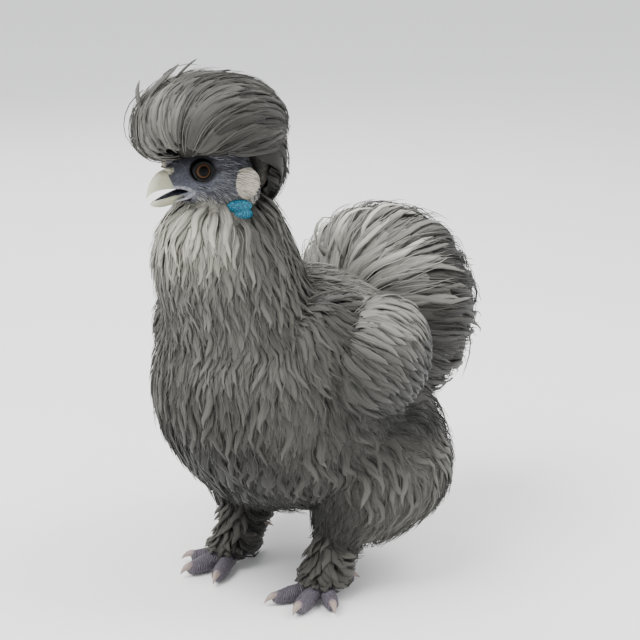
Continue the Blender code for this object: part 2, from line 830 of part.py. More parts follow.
def torso(room, neighbours):
    made = trunk()
    surface = Skin([made])
    locks = Locks(neighbours)
    size = (BODY_LOCK_WIDTH, BODY_LOCK_THICKNESS, BODY_TAPER)
    for direction in spread_directions(BODY_LOCKS):
        root = TRUNK_MIDDLE + Vector([direction[i] * TRUNK_REACH[i] for i in range(3)])
        trail = follow(surface, root, body_lie, varied(BODY_LOCK_LENGTH), 4)
        locks.grow(trail, BODY_LIFT, *size, 2, HACKLE_WAVE)
    fuse(made, locks.solids)
    cut(made, room)
    return finish(made, "torso", "grey_plumage")


def tail(trunk_skin):
    """A ball of vanes in three layers over a small core, clear of the back where they lie over it."""
    outer = ball("outer", TAIL_CENTRE, TAIL_RADII, detail=3)
    surface = Skin([outer])
    bpy.data.objects.remove(outer)
    heading = dipole(TAIL_SOURCE, TAIL_SINK)
    locks = Locks([trunk_skin])
    size = (TAIL_VANE_WIDTH, TAIL_VANE_THICKNESS, TAIL_TAPER)
    for trail, heights in fan(surface, TAIL_SOURCE, heading, TAIL_SETS, TAIL_DIVE, 0.0020, 4):
        locks.grow(trail, heights, *size, 1)
    made = ball("tail", TAIL_CENTRE, TAIL_RADII * TAIL_CORE)
    room = shells([made]) + locks.rooms
    fuse(made, locks.solids)
    return finish(made, "tail", "grey_plumage"), room


def wing(side, name, room, neighbours):
    """A pad with tiers of vanes that run back and down over its outer face."""
    centre = other_side(WING_CENTRE, side)
    axes = Matrix.Rotation(-WING_DROP, 3, "X")
    along, up = axes.col[1].copy(), axes.col[2].copy()
    outer = ball("outer", centre, WING_RADII, axes, 3)
    surface = Skin([outer])
    bpy.data.objects.remove(outer)

    def back(point):
        rise = (point - centre).dot(up)
        return along - up * (0.25 + 8.0 * rise)

    locks = Locks(neighbours)
    size = (WING_VANE_WIDTH, WING_VANE_THICKNESS, BODY_TAPER)
    for place, count in WING_TIERS:
        for i in range(count):
            height = 0.85 * (2.0 * i / (count - 1) - 1.0) * math.sqrt(1.0 - place * place)
            root = centre + along * (place * WING_RADII.y) + up * (height * WING_RADII.z)
            root.x += side * WING_RADII.x
            trail = follow(surface, root, back, varied(WING_VANE_LENGTH), 4)
            locks.grow(trail, BODY_LIFT, *size, 1)
    made = ball("wing", centre, WING_RADII, axes)
    own_room = shells([made]) + locks.rooms
    fuse(made, locks.solids)
    cut(made, room)
    return finish(made, name, "grey_plumage"), own_room


def toe_line(index, side):
    """Root and end of one toe's middle line, and its axes: along, across and up."""
    outward = FOOT_TURN + math.radians(TOE_TURNS[index])
    way = Vector((math.sin(outward) * side, -math.cos(outward), 0.0))
    ankle = Vector((side * LEG_X, LEG_Y, 0.0))
    root = ankle + Vector((0.0, 0.0, TOE_ROOT_HEIGHTS[index]))
    end = ankle + way * TOE_LENGTHS[index] + Vector((0.0, 0.0, TOE_TIP_HEIGHTS[index]))
    along = (end - root).normalized()
    across = way.cross(Vector((0.0, 0.0, 1.0)))
    return root, end, along, across, across.cross(along)


def toe(index, side):
    """A tapering toe, ringed by scutes."""
    root, end, along, across, up = toe_line(index, side)
    rings = []
    last = TOE_SCUTES[index] * 2
    for i in range(last + 1):
        t = i / last
        centre = root.lerp(end, t) - Vector((0.0, 0.0, TOE_SAG * math.sin(math.pi * t)))
        size = TOE_RADII[index] * (1.0 + SCUTE_RISE * (i % 2) - TOE_TAPER * t)
        rings.append(oval(centre, across, up, size, size, size, TOE_SIDES))
    return loft("toe", rings, root, end + along * TOE_RADII[index] * 0.7)


def claw(index, side, name):
    """A small blunt claw that bends down a little from the toe's end."""
    _, end, along, across, up = toe_line(index, side)
    radius = TOE_RADII[index] * CLAW_SHARE
    start = end + up * radius * 0.25
    rings = []
    for t in (0.0, 0.45, 0.8):
        centre = start + along * CLAW_LENGTH * t - up * (0.0012 * t * t)
        size = radius * (1.0 - 0.75 * t)
        rings.append(oval(centre, across, up, size, size, size, 6))
    tip = start + along * CLAW_LENGTH - up * 0.0022
    tip.z = max(tip.z, CLAW_LIFT)
    return finish(loft(name, rings, None, tip), name, "claw")


def foot_pieces(side):
    heel = ball("heel", Vector((side * LEG_X, LEG_Y, HEEL_HEIGHT)), [HEEL_RADIUS] * 3, detail=1)
    return [heel, *(toe(index, side) for index in range(len(TOE_NAMES)))]


def foot(side, word):
    """Five toes and their claws, flat where they meet the ground. Returns the room they need."""
    claws = [claw(index, side, f"claw_{word}_{name}") for index, name in enumerate(TOE_NAMES)]
    heel, *toes = foot_pieces(side)
    room = shells([heel, *toes, *claws])
    fuse(heel, toes)
    bm = bmesh.new()
    bm.from_mesh(heel.data)
    geometry = bm.verts[:] + bm.edges[:] + bm.faces[:]
    sliced = bmesh.ops.bisect_plane(
        bm, geom=geometry, plane_co=(0.0, 0.0, 0.0), plane_no=(0.0, 0.0, -1.0), clear_outer=True
    )
    rim = [edge for edge in sliced["geom_cut"] if isinstance(edge, bmesh.types.BMEdge)]
    bmesh.ops.holes_fill(bm, edges=rim)
    bmesh.ops.recalc_face_normals(bm, faces=bm.faces)
    bm.to_mesh(heel.data)
    bm.free()
    cut(heel, shells(claws))
    finish(heel, f"foot_{word}", "foot_skin")
    return room


def shank(side, name, room):
    """The short feathered shank, its locks standing off it towards their tips."""
    rings = [
        oval(Vector((side * x, y, z)), Vector((1, 0, 0)), Vector((0, 1, 0)), half, depth, depth, SHANK_SIDES)
        for x, y, z, half, depth in SHANK_STATIONS
    ]
    longer = loft("longer", rings)
    surface = Skin([longer])
    bpy.data.objects.remove(longer)
    _, ys, zs, _, _ = zip(*reversed(SHANK_STATIONS))

    def middle(height):
        return Vector((side * LEG_X, np.interp(height, zs, ys), height))

    def down_and_back(point):
        return Vector((0.15 * side, 0.35, -1.0))

    locks = Locks()
    size = (SHANK_LOCK_WIDTH, BODY_LOCK_THICKNESS, SHANK_TAPER)
    for root in rows_of_roots(SHANK_ROWS, middle, 0.020):
        trail = follow(surface, root, down_and_back, varied(SHANK_LOCK_LENGTH), 3)
        locks.grow(trail, SHANK_LIFT, *size)
    made = loft("shank", rings[:-1])
    own_room = shells([made]) + locks.rooms
    fuse(made, locks.solids)
    cut(made, room)
    return finish(made, name, "grey_plumage"), own_room


def thigh(side, name, room, neighbours):
    """The thigh and its fluff, whose locks run down and gather towards the shank."""
    rings = [
        oval(Vector((side * x, y, z)), Vector((1, 0, 0)), Vector((0, 1, 0)), half, depth, depth, THIGH_SIDES)
        for x, y, z, half, depth in smooth_rows(THIGH_STATIONS, THIGH_RINGS)
    ]
    made = loft("thigh", rings, other_side(THIGH_TOP, side), other_side(THIGH_FOOT, side))
    surface = Skin([made])
    foot_point = other_side(THIGH_FOOT, side)

    def gather(point):
        return (foot_point - point).normalized() + Vector((0.0, 0.25, -1.0))

    locks = Locks(neighbours)
    size = (THIGH_LOCK_WIDTH, BODY_LOCK_THICKNESS, BODY_TAPER)
    middle = other_side(THIGH_TOP, side)
    for root in rows_of_roots(THIGH_ROWS, lambda height: Vector((middle.x, middle.y, height)), 0.060):
        trail = follow(surface, root, gather, varied(THIGH_LOCK_LENGTH), 4)
        locks.grow(trail, BODY_LIFT, *size, 2, HACKLE_WAVE)
    own_room = shells([made]) + locks.rooms
    fuse(made, locks.solids)
    cut(made, room)
    return finish(made, name, "grey_plumage"), own_room


def stand_at_origin():
    """Moves the whole bird so that the middle of her box, seen from above, is at the origin."""
    objects = [obj for obj in bpy.data.objects if obj.type == "MESH"]
    points = [vert.co for obj in objects for vert in obj.data.vertices]
    middle = [(min(p[i] for p in points) + max(p[i] for p in points)) / 2 for i in range(2)]
    for obj in objects:
        obj.data.transform(Matrix.Translation((-middle[0], -middle[1], 0.0)))


def build():
    clear_scene()
    bills = [
        bill_loft("beak_upper", UPPER_BILL_STATIONS, UPPER_BILL_TIP, 0.0),
        bill_loft("beak_lower", LOWER_BILL_STATIONS, LOWER_BILL_TIP, BILL_TROUGH),
    ]
    unhollowed = bill_loft("unhollowed", LOWER_BILL_STATIONS, LOWER_BILL_TIP, 0.0)
    bill_room = shells([bills[0], unhollowed])
    bpy.data.objects.remove(unhollowed)
    head_part, head_room = head(bill_room)
    tongue()
    face_room = head_room + bill_room + comb(head_room)
    for side, word in ((1, "left"), (-1, "right")):
        eye(side, f"eye_{word}")
        face_room += cheek_pad(f"ear_{word}", EAR_CENTRE, EAR_RADII, side, "pale_plumage", head_room)
        face_room += cheek_pad(f"earlobe_{word}", LOBE_CENTRE, LOBE_RADII, side, "earlobe", head_room)
    crest_part, crest_room = crest(face_room, Skin([head_part]))
    trunk_part = trunk()
    trunk_skin = Skin([trunk_part])
    bpy.data.objects.remove(trunk_part)
    neck_part, neck_room = neck(face_room + crest_room, Skin([crest_part]))
    tail_part, tail_room = tail(trunk_skin)
    tail_skin = Skin([tail_part])
    body_room = neck_room + tail_room
    body_skins = [Skin([neck_part]), tail_skin]
    for side, word in ((1, "left"), (-1, "right")):
        foot_room = foot(side, word)
        wing_part, wing_room = wing(side, f"wing_{word}", neck_room + tail_room, [trunk_skin, tail_skin])
        shank_part, shank_room = shank(side, f"shank_{word}", foot_room)
        wing_skin = Skin([wing_part])
        thigh_part, thigh_room = thigh(
            side,
            f"thigh_{word}",
            foot_room + shank_room + tail_room + wing_room,
            [trunk_skin, tail_skin, wing_skin, Skin([shank_part])],
        )
        body_room += wing_room + thigh_room
        body_skins += [wing_skin, Skin([thigh_part])]
    torso(body_room, body_skins)
    stand_at_origin()


build()
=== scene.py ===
import math

import bmesh
import bpy
import numpy as np
from mathutils import Matrix, Vector
from mathutils.bvhtree import BVHTree


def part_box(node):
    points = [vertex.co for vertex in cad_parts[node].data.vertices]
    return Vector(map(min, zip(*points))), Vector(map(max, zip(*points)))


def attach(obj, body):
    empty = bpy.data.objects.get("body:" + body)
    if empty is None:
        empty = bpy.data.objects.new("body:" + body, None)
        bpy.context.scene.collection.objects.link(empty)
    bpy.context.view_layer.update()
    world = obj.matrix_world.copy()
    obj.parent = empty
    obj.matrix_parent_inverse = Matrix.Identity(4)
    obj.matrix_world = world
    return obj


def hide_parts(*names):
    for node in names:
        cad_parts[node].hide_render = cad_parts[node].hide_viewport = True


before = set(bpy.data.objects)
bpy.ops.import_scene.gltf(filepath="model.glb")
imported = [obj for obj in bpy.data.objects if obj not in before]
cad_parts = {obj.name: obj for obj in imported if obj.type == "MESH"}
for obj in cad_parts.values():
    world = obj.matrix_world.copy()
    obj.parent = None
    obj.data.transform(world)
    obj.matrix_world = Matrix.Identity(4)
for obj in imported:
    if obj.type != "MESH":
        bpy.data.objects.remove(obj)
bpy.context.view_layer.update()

# ---------------------------------------------------------------- Camera and studio
# The bird stands on a pale floor under soft boxes. The camera looks at her from her left front,
# a little above her back, where the photograph was drawn from.

# The head's own axes run forward, left and up from the point midway between her eyes
HEAD_CENTRE = Vector((-0.0040, -0.0937, 0.2533))
HEAD_TURN = math.radians(31.5)
FORWARD = Vector((-math.sin(HEAD_TURN), -math.cos(HEAD_TURN), 0.0))
LEFT = Vector((math.cos(HEAD_TURN), -math.sin(HEAD_TURN), 0.0))
UP = Vector((0.0, 0.0, 1.0))
HEAD_AXES = Matrix((FORWARD, LEFT, UP)).transposed()
EYE_OUT = 0.0072


def on_head(forward, left, up):
    """A point given by its reach forward, left and up from the middle of the head."""
    return HEAD_CENTRE + FORWARD * forward + LEFT * left + UP * up


# Sizes below are in the bird's own axes. The CAD's left eye says where these lie in the frame.
eye_low, eye_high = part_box("eye_left")
STANDING = (eye_low + eye_high) / 2 - on_head(0.0, EYE_OUT, 0.0)

CAMERA_TARGET = Vector((0.0, 0.0016, 0.1495)) + STANDING
CAMERA_WAY = Vector((0.6179, -0.7364, 0.2756))
CAMERA_DISTANCE = 1.03

camera_data = bpy.data.cameras.new("camera")
camera_data.lens = 100.0
camera_data.sensor_width = 36.0
camera = bpy.data.objects.new("camera", camera_data)
camera.location = CAMERA_TARGET + CAMERA_WAY * CAMERA_DISTANCE
camera.rotation_euler = CAMERA_WAY.to_track_quat("Z", "Y").to_euler()
bpy.context.scene.collection.objects.link(camera)
bpy.context.scene.camera = camera


def linear(colour):
    """An sRGB hex colour as linear numbers."""
    parts = [int(colour[i : i + 2], 16) / 255 for i in (1, 3, 5)]
    return [p / 12.92 if p <= 0.04045 else ((p + 0.055) / 1.055) ** 2.4 for p in parts]


def node(tree, kind, inputs=(), **settings):
    """Adds a shader node, with its settings, and values or links for its inputs."""
    made = tree.nodes.new(kind)
    for name, value in settings.items():
        setattr(made, name, value)
    for name, value in dict(inputs).items():
        if isinstance(value, bpy.types.NodeSocket):
            tree.links.new(value, made.inputs[name])
        else:
            made.inputs[name].default_value = value
    return made


def finish_named(name, inputs):
    """A material of one Principled shader, with the values given for its sockets."""
    made = bpy.data.materials.new(name)
    made.use_nodes = True
    tree = made.node_tree
    shader = tree.nodes["Principled BSDF"]
    for socket, value in inputs.items():
        shader.inputs[socket].default_value = value
    return made, tree, shader


# Seamless studio paper: matt, nearly white, with the faint tooth of card
paper, paper_tree, paper_shader = finish_named("studio paper", {"Roughness": 0.9})
paper_tooth = node(paper_tree, "ShaderNodeTexNoise", {"Scale": 60.0, "Detail": 2.0})
paper_mix = node(
    paper_tree,
    "ShaderNodeMix",
    {"Factor": paper_tooth.outputs["Fac"], 6: (*linear("#F4F4F2"), 1.0), 7: (*linear("#F8F8F6"), 1.0)},
    data_type="RGBA",
)
paper_tree.links.new(paper_mix.outputs[2], paper_shader.inputs["Base Color"])

bm = bmesh.new()
bmesh.ops.create_grid(bm, x_segments=2, y_segments=2, size=3.0)
floor_mesh = bpy.data.meshes.new("floor")
bm.to_mesh(floor_mesh)
bm.free()
floor = bpy.data.objects.new("floor", floor_mesh)
floor.data.materials.append(paper)
bpy.context.scene.collection.objects.link(floor)

world = bpy.context.scene.world or bpy.data.worlds.new("studio")
bpy.context.scene.world = world
world.use_nodes = True
world.node_tree.nodes["Background"].inputs["Color"].default_value = (0.97, 0.98, 1.0, 1.0)
world.node_tree.nodes["Background"].inputs["Strength"].default_value = 1.25

# Soft boxes: the way that each lies in, its distance, side and power
SOFT_BOXES = (
    ((-0.10, -0.75, 1.05), 1.3, 0.8, 26.0),
    ((0.55, 0.35, 0.95), 1.4, 0.7, 14.0),
    ((-0.80, 0.50, 0.60), 1.5, 0.7, 8.0),
)
for way, distance, side, power in SOFT_BOXES:
    light_data = bpy.data.lights.new("soft box", "AREA")
    light_data.size = side
    light_data.energy = power
    light = bpy.data.objects.new("soft box", light_data)
    way = Vector(way).normalized()
    light.location = CAMERA_TARGET + way * distance
    light.rotation_euler = way.to_track_quat("Z", "Y").to_euler()
    bpy.context.scene.collection.objects.link(light)

# ---------------------------------------------------------------- Skin
# One skin over neck, trunk, wings and legs, and round the roots of crest and tail. A silkie's
# skin is blue-grey. It shows only on the face, where it is bare round the eyes and the bill.

# Trunk: place along Y, height of the middle, half width, reach up, reach down
TRUNK_STATIONS = (
    (-0.1020, 0.1240, 0.0080, 0.0080, 0.0080),
    (-0.0990, 0.1240, 0.0240, 0.0260, 0.0240),
    (-0.0890, 0.1230, 0.0430, 0.0460, 0.0410),
    (-0.0710, 0.1220, 0.0570, 0.0600, 0.0590),
    (-0.0440, 0.1200, 0.0660, 0.0670, 0.0690),
    (-0.0120, 0.1170, 0.0680, 0.0660, 0.0670),
    (0.0160, 0.1140, 0.0600, 0.0590, 0.0590),
    (0.0380, 0.1110, 0.0450, 0.0450, 0.0470),
    (0.0530, 0.1080, 0.0240, 0.0260, 0.0280),
    (0.0570, 0.1080, 0.0060, 0.0060, 0.0060),
)
# Neck: middle, half width, half depth, how far a section tips up at the back, and its turn
NECK_STATIONS = (
    (0.0000, -0.0580, 0.1400, 0.0500, 0.0380, 0.0, 0.0),
    (0.0000, -0.0630, 0.1560, 0.0460, 0.0370, 0.0, 2.0),
    (0.0000, -0.0670, 0.1720, 0.0425, 0.0370, 0.0, 5.0),
    (-0.0010, -0.0730, 0.1900, 0.0385, 0.0370, 4.0, 12.0),
    (-0.0020, -0.0785, 0.2060, 0.0345, 0.0345, 12.0, 20.0),
    (-0.0030, -0.0820, 0.2200, 0.0310, 0.0315, 20.0, 28.0),
    (-0.0030, -0.0840, 0.2320, 0.0235, 0.0255, 24.0, 31.5),
    (-0.0020, -0.0840, 0.2430, 0.0150, 0.0180, 26.0, 31.5),
)
# Thigh and shank, left side: middle, half width, half depth
THIGH_STATIONS = (
    (0.0380, 0.0000, 0.1220, 0.0180, 0.0240),
    (0.0400, 0.0010, 0.1080, 0.0290, 0.0370),
    (0.0425, 0.0030, 0.0900, 0.0335, 0.0410),
    (0.0430, 0.0050, 0.0680, 0.0350, 0.0440),
    (0.0430, 0.0040, 0.0540, 0.0330, 0.0420),
    (0.0410, -0.0020, 0.0430, 0.0270, 0.0350),
    (0.0380, -0.0120, 0.0330, 0.0180, 0.0220),
)
SHANK_STATIONS = (
    (0.0380, -0.0140, 0.0480, 0.0170, 0.0200),
    (0.0365, -0.0210, 0.0360, 0.0135, 0.0155),
    (0.0352, -0.0280, 0.0240, 0.0112, 0.0125),
    (0.0350, -0.0330, 0.0140, 0.0095, 0.0105),
    (0.0350, -0.0360, 0.0090, 0.0070, 0.0080),
)
WING_CENTRE = Vector((0.0625, -0.0230, 0.1455))
WING_RADII = Vector((0.0190, 0.0400, 0.0320))
WING_DROP = math.radians(14.0)
SHOULDER_CENTRE = Vector((0.0490, -0.0440, 0.1510))
SHOULDER_RADII = Vector((0.0205, 0.0310, 0.0300))
TAIL_CENTRE = Vector((0.0, 0.0600, 0.1460))
TAIL_RADII = Vector((0.0510, 0.0480, 0.0570))
# Crest: a dome over the skull and a fall behind it, on the head's own axes
DOME_CENTRE = (-0.0070, 0.0, 0.0235)
DOME_RADII = Vector((0.0375, 0.0345, 0.0225))
BULGE_CENTRE = (0.0175, 0.0, 0.0180)
BULGE_RADII = Vector((0.0135, 0.0230, 0.0120))
BROW_CENTRE = (0.0060, 0.0, 0.0105)
BROW_RADII = Vector((0.0130, 0.0130, 0.0085))
NAPE_CENTRE = (-0.0325, 0.0, 0.0040)
NAPE_RADII = Vector((0.0115, 0.0210, 0.0230))
# Skull: place forward, middle height, half width, reach up, reach down
SKULL_STATIONS = (
    (0.0176, -0.0055, 0.0030, 0.0050, 0.0060),
    (0.0166, -0.0037, 0.0046, 0.0055, 0.0110),
    (0.0120, -0.0028, 0.0072, 0.0092, 0.0138),
    (0.0055, -0.0018, 0.0099, 0.0120, 0.0166),
    (-0.0018, -0.0009, 0.0121, 0.0138, 0.0193),
    (-0.0092, -0.0018, 0.0138, 0.0152, 0.0221),
    (-0.0166, -0.0037, 0.0145, 0.0156, 0.0235),
    (-0.0239, -0.0064, 0.0133, 0.0143, 0.0212),
    (-0.0304, -0.0092, 0.0087, 0.0092, 0.0138),
    (-0.0330, -0.0105, 0.0030, 0.0030, 0.0040),
)
EYE_RADIUS = 0.0059
LID_REACH = 0.0047
LID_OUT = 0.0117
LID_RADIUS = 0.0009
SOCKET_OUT = 0.0088
GAPE = ((0.0057, -0.0112), (0.0110, -0.0098), (0.0313, -0.0096), (0.0313, -0.0184), (0.0106, -0.0126))
NOSTRIL = (0.0152, 0.0050, -0.0010)
NOSTRIL_FLAP = (0.0166, 0.0043, 0.0006)
# Fold of skin at the corner of the mouth
MOUTH_FOLD = (
    (0.0150, 0.0056, -0.0094),
    (0.0112, 0.0071, -0.0092),
    (0.0072, 0.0080, -0.0097),
    (0.0042, 0.0083, -0.0118),
    (0.0068, 0.0080, -0.0142),
    (0.0110, 0.0068, -0.0156),
    (0.0150, 0.0052, -0.0170),
)


def tube(bm, rings):
    """A closed tube through rings, each given by its centre, two half axes and its side count."""
    last = []
    for centre, across, back, sides in rings:
        turn = Matrix((across, back, across.cross(back).normalized())).transposed().to_4x4()
        matrix = Matrix.Translation(centre) @ turn
        verts = bmesh.ops.create_circle(bm, segments=sides, radius=1.0, matrix=matrix)["verts"]
        edges = list({edge for vert in verts for edge in vert.link_edges})
        if last:
            bmesh.ops.bridge_loops(bm, edges=last + edges)
        last = edges
    bmesh.ops.holes_fill(bm, edges=[edge for edge in bm.edges if edge.is_boundary], sides=0)


def pipe(bm, points, radii, sides=12):
    """A closed tube along points, with a radius at each."""
    rings = []
    for i, point in enumerate(points):
        ahead = points[min(i + 1, len(points) - 1)] - points[max(i - 1, 0)]
        across = ahead.cross(UP if abs(ahead.normalized().z) < 0.9 else FORWARD).normalized()
        back = ahead.cross(across).normalized()
        rings.append((point, across * radii[i], back * radii[i], sides))
    tube(bm, rings)


def egg(bm, centre, radii, axes=None, detail=4):
    """A ball stretched to three radii, along the axes given."""
    matrix = Matrix.Translation(centre) @ (axes or Matrix.Identity(3)).to_4x4() @ Matrix.Diagonal((*radii, 1.0))
    return bmesh.ops.create_icosphere(bm, subdivisions=detail, radius=1.0, matrix=matrix)["verts"]


def between(rows, count):
    """Rows of numbers, with more rows set smoothly between them."""
    rows = np.array(rows, float)
    slopes = np.gradient(rows, axis=0)
    made = []
    for t in np.linspace(0, len(rows) - 1, count):
        i = min(int(t), len(rows) - 2)
        u = t - i
        made.append(
            rows[i] * (1 + 2 * u) * (1 - u) ** 2
            + slopes[i] * u * (1 - u) ** 2
            + rows[i + 1] * u * u * (3 - 2 * u)
            + slopes[i + 1] * u * u * (u - 1)
        )
    return made


def object_of(name, bm):
    """An object made of a bmesh, with its faces turned outwards."""
    bmesh.ops.recalc_face_normals(bm, faces=bm.faces)
    mesh = bpy.data.meshes.new(name)
    bm.to_mesh(mesh)
    bm.free()
    made = bpy.data.objects.new(name, mesh)
    bpy.context.scene.collection.objects.link(made)
    return made


def with_modifiers(obj, *modifiers):
    """Gives an object's mesh the modifiers named, one after the other, and keeps the result."""
    for kind, settings in modifiers:
        modifier = obj.modifiers.new(kind, kind)
        for name, value in settings.items():
            setattr(modifier, name, value)
    shape = obj.evaluated_get(bpy.context.evaluated_depsgraph_get())
    mesh = bpy.data.meshes.new_from_object(shape)
    obj.modifiers.clear()
    obj.data = mesh
    return obj


def merged(obj, voxel, rounds):
    """Merges what overlaps in an object into one smooth skin."""
    return with_modifiers(
        obj,
        ("REMESH", {"mode": "VOXEL", "voxel_size": voxel}),
        ("SMOOTH", {"factor": 0.5, "iterations": rounds}),
    )


def trunk_and_neck(bm, thinner):
    tube(bm, [
        (Vector((0.0, y, z + (rise - drop) / 2)), Vector((max(half - thinner, 0.004), 0, 0)),
         Vector((0, 0, max((rise + drop) / 2 - thinner, 0.004))), 40)
        for y, z, half, rise, drop in between(TRUNK_STATIONS, 26)
    ])
    rings = []
    for x, y, z, half, depth, tip, turn in between(NECK_STATIONS, 20):
        turned = Matrix.Rotation(-math.radians(turn), 3, "Z")
        back = turned @ Vector((0.0, math.cos(math.radians(tip)), math.sin(math.radians(tip))))
        across = turned @ Vector((1.0, 0.0, 0.0))
        rings.append((Vector((x, y, z)), across * (half - thinner), back * (depth - thinner), 36))
    tube(bm, rings)


def legs(bm, thinner):
    for side in (-1, 1):
        for stations, count in ((THIGH_STATIONS, 16), (SHANK_STATIONS, 12)):
            tube(bm, [
                (Vector((side * x, y, z)), Vector((max(half - thinner, 0.004), 0, 0)),
                 Vector((0, max(depth - thinner, 0.004), 0)), 32)
                for x, y, z, half, depth in between(stations, count)
            ])


def wing_axes(side):
    return Matrix.Rotation(-WING_DROP, 3, "X") @ Matrix.Rotation(side * math.radians(4.0), 3, "Z")


def wing(bm, side, thinner):
    centre = Vector((side * WING_CENTRE.x, WING_CENTRE.y, WING_CENTRE.z))
    egg(bm, centre, WING_RADII - Vector([thinner] * 3), wing_axes(side))


def shoulder(bm, side, thinner):
    centre = Vector((side * SHOULDER_CENTRE.x, SHOULDER_CENTRE.y, SHOULDER_CENTRE.z))
    egg(bm, centre, SHOULDER_RADII - Vector([thinner] * 3))


def crest_form(bm, thinner):
    less = Vector([thinner] * 3)
    egg(bm, on_head(*DOME_CENTRE), DOME_RADII - less, HEAD_AXES)
    egg(bm, on_head(*NAPE_CENTRE), NAPE_RADII - less, HEAD_AXES)
    egg(bm, on_head(*BULGE_CENTRE), BULGE_RADII - less, HEAD_AXES)
    egg(bm, on_head(*BROW_CENTRE), BROW_RADII - less * 0.6, HEAD_AXES)


def tail_form(bm, thinner):
    egg(bm, TAIL_CENTRE, TAIL_RADII - Vector([thinner] * 3))


# Lines that the feathers follow: the body with its wings, the crest, the tail, and each wing alone
bm = bmesh.new()
trunk_and_neck(bm, 0.0)
legs(bm, 0.0)
for side in (-1, 1):
    wing(bm, side, 0.0050)
    shoulder(bm, side, 0.0)
body_line = merged(object_of("body line", bm), 0.0022, 12)
bm = bmesh.new()
crest_form(bm, 0.0)
crest_line = merged(object_of("crest line", bm), 0.0022, 12)
bm = bmesh.new()
tail_form(bm, 0.0)
tail_line = object_of("tail line", bm)
wing_lines = {}
for side in (-1, 1):
    bm = bmesh.new()
    wing(bm, side, 0.0)
    wing_lines[side] = object_of("wing line", bm)

# Head: skull, cheeks, lids, nostrils and the fold of the mouth, in skin half a millimetre fine
bm = bmesh.new()
tube(bm, [
    (on_head(forward, 0.0, middle + (rise - drop) / 2), LEFT * half, UP * ((rise + drop) / 2), 48)
    for forward, middle, half, rise, drop in between(SKULL_STATIONS, 30)
])
skull = merged(object_of("skull", bm), 0.0007, 3)
bm = bmesh.new()
mouth_edge = [bm.verts.new(on_head(forward, -0.0100, up)) for forward, up in GAPE]
mouth_face = bm.faces.new(mouth_edge)
mouth_other = bmesh.ops.extrude_face_region(bm, geom=[mouth_face])["geom"]
bmesh.ops.translate(bm, vec=LEFT * 0.0200, verts=[v for v in mouth_other if isinstance(v, bmesh.types.BMVert)])
mouth_cut = object_of("mouth cut", bm)
bm = bmesh.new()
for side in (-1, 1):
    egg(bm, on_head(0.0, side * SOCKET_OUT, 0.0), [EYE_RADIUS + 0.0002] * 3)
eye_cut = object_of("eye cut", bm)
bm = bmesh.new()
for side in (-1, 1):
    forward, left, up = NOSTRIL
    egg(bm, on_head(forward, side * left, up), (0.0016, 0.0013, 0.0008), HEAD_AXES, 3)
nostril_cut = object_of("nostril cut", bm)
with_modifiers(skull, *[
    ("BOOLEAN", {"operation": "DIFFERENCE", "object": cutter, "solver": "EXACT"})
    for cutter in (mouth_cut, eye_cut, nostril_cut)
])
bm = bmesh.new()
bm.from_mesh(skull.data)
for side in (-1, 1):
    eye_middle = on_head(0.0, side * LID_OUT, 0.0)
    lid_matrix = Matrix.Translation(eye_middle + UP * LID_REACH) @ Matrix((LEFT, UP, -FORWARD)).transposed().to_4x4()
    rim = bmesh.ops.create_circle(bm, segments=14, radius=LID_RADIUS, matrix=lid_matrix)["verts"]
    rim_edges = list({edge for vert in rim for edge in vert.link_edges})
    bmesh.ops.spin(
        bm, geom=rim + rim_edges, cent=eye_middle, axis=LEFT, angle=2 * math.pi, steps=40, use_merge=True
    )
    forward, left, up = NOSTRIL_FLAP
    egg(bm, on_head(forward, side * left, up), (0.0024, 0.0013, 0.0011), HEAD_AXES, 3)
    pipe(bm, [on_head(f, side * l, u) for f, l, u in between(MOUTH_FOLD, 22)],
         [0.0004 + 0.0005 * math.sin(math.pi * i / 21) for i in range(22)])
    egg(bm, on_head(-0.0130, side * 0.0098, -0.0135), (0.0090, 0.0046, 0.0066), HEAD_AXES)
head = merged(object_of("head", bm), 0.0005, 3)
for cutter in (mouth_cut, eye_cut, nostril_cut, skull):
    bpy.data.objects.remove(cutter)

bm = bmesh.new()
trunk_and_neck(bm, 0.0040)
legs(bm, 0.0035)
for side in (-1, 1):
    wing(bm, side, 0.0050)
    shoulder(bm, side, 0.0040)
crest_form(bm, 0.0050)
tail_form(bm, 0.0180)
body = merged(object_of("skin", bm), 0.0022, 8)


def joined(name, parts):
    """One object of several whose meshes carry the same maps."""
    with bpy.context.temp_override(active_object=parts[0], selected_editable_objects=parts):
        bpy.ops.object.join()
    parts[0].name = name
    return parts[0]


def points_of(obj):
    """The places of an object's points, in the bird's own axes."""
    places = np.empty(len(obj.data.vertices) * 3)
    obj.data.vertices.foreach_get("co", places)
    return places.reshape(-1, 3)


def settle(piece, material, slot, *replaced):
    """Puts a finished piece on the bird's place in the frame, and gives it its material."""
    piece.data.transform(Matrix.Translation(STANDING))
    piece.data.materials.clear()
    piece.data.materials.append(material)
    piece.data.shade_smooth()
    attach(piece, "root")
    if replaced:
        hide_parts(*replaced)
    return piece


def set_tint(mesh, colour):
    """Stores a colour at each point of a mesh, for its material to read."""
    store = mesh.color_attributes.new("tint", "FLOAT_COLOR", "POINT")
    store.data.foreach_set("color", np.concatenate([colour, np.ones((len(colour), 1))], 1).ravel())


def ramp(t, low, high):
    """Goes smoothly from 0 at low to 1 at high."""
    t = np.clip((t - low) / (high - low), 0, 1)
    return t * t * (3 - 2 * t)


def mixed(a, b, share):
    return a + (b - a) * share[:, None]


def head_places(places):
    """Places as their reach forward, left and up on the head."""
    return (places - np.array(HEAD_CENTRE)) @ np.array(HEAD_AXES)


def from_eye(local):
    """How far a place on the head lies from the eye's middle, seen from the side."""
    return np.hypot(local[:, 0], local[:, 2] * 1.05)


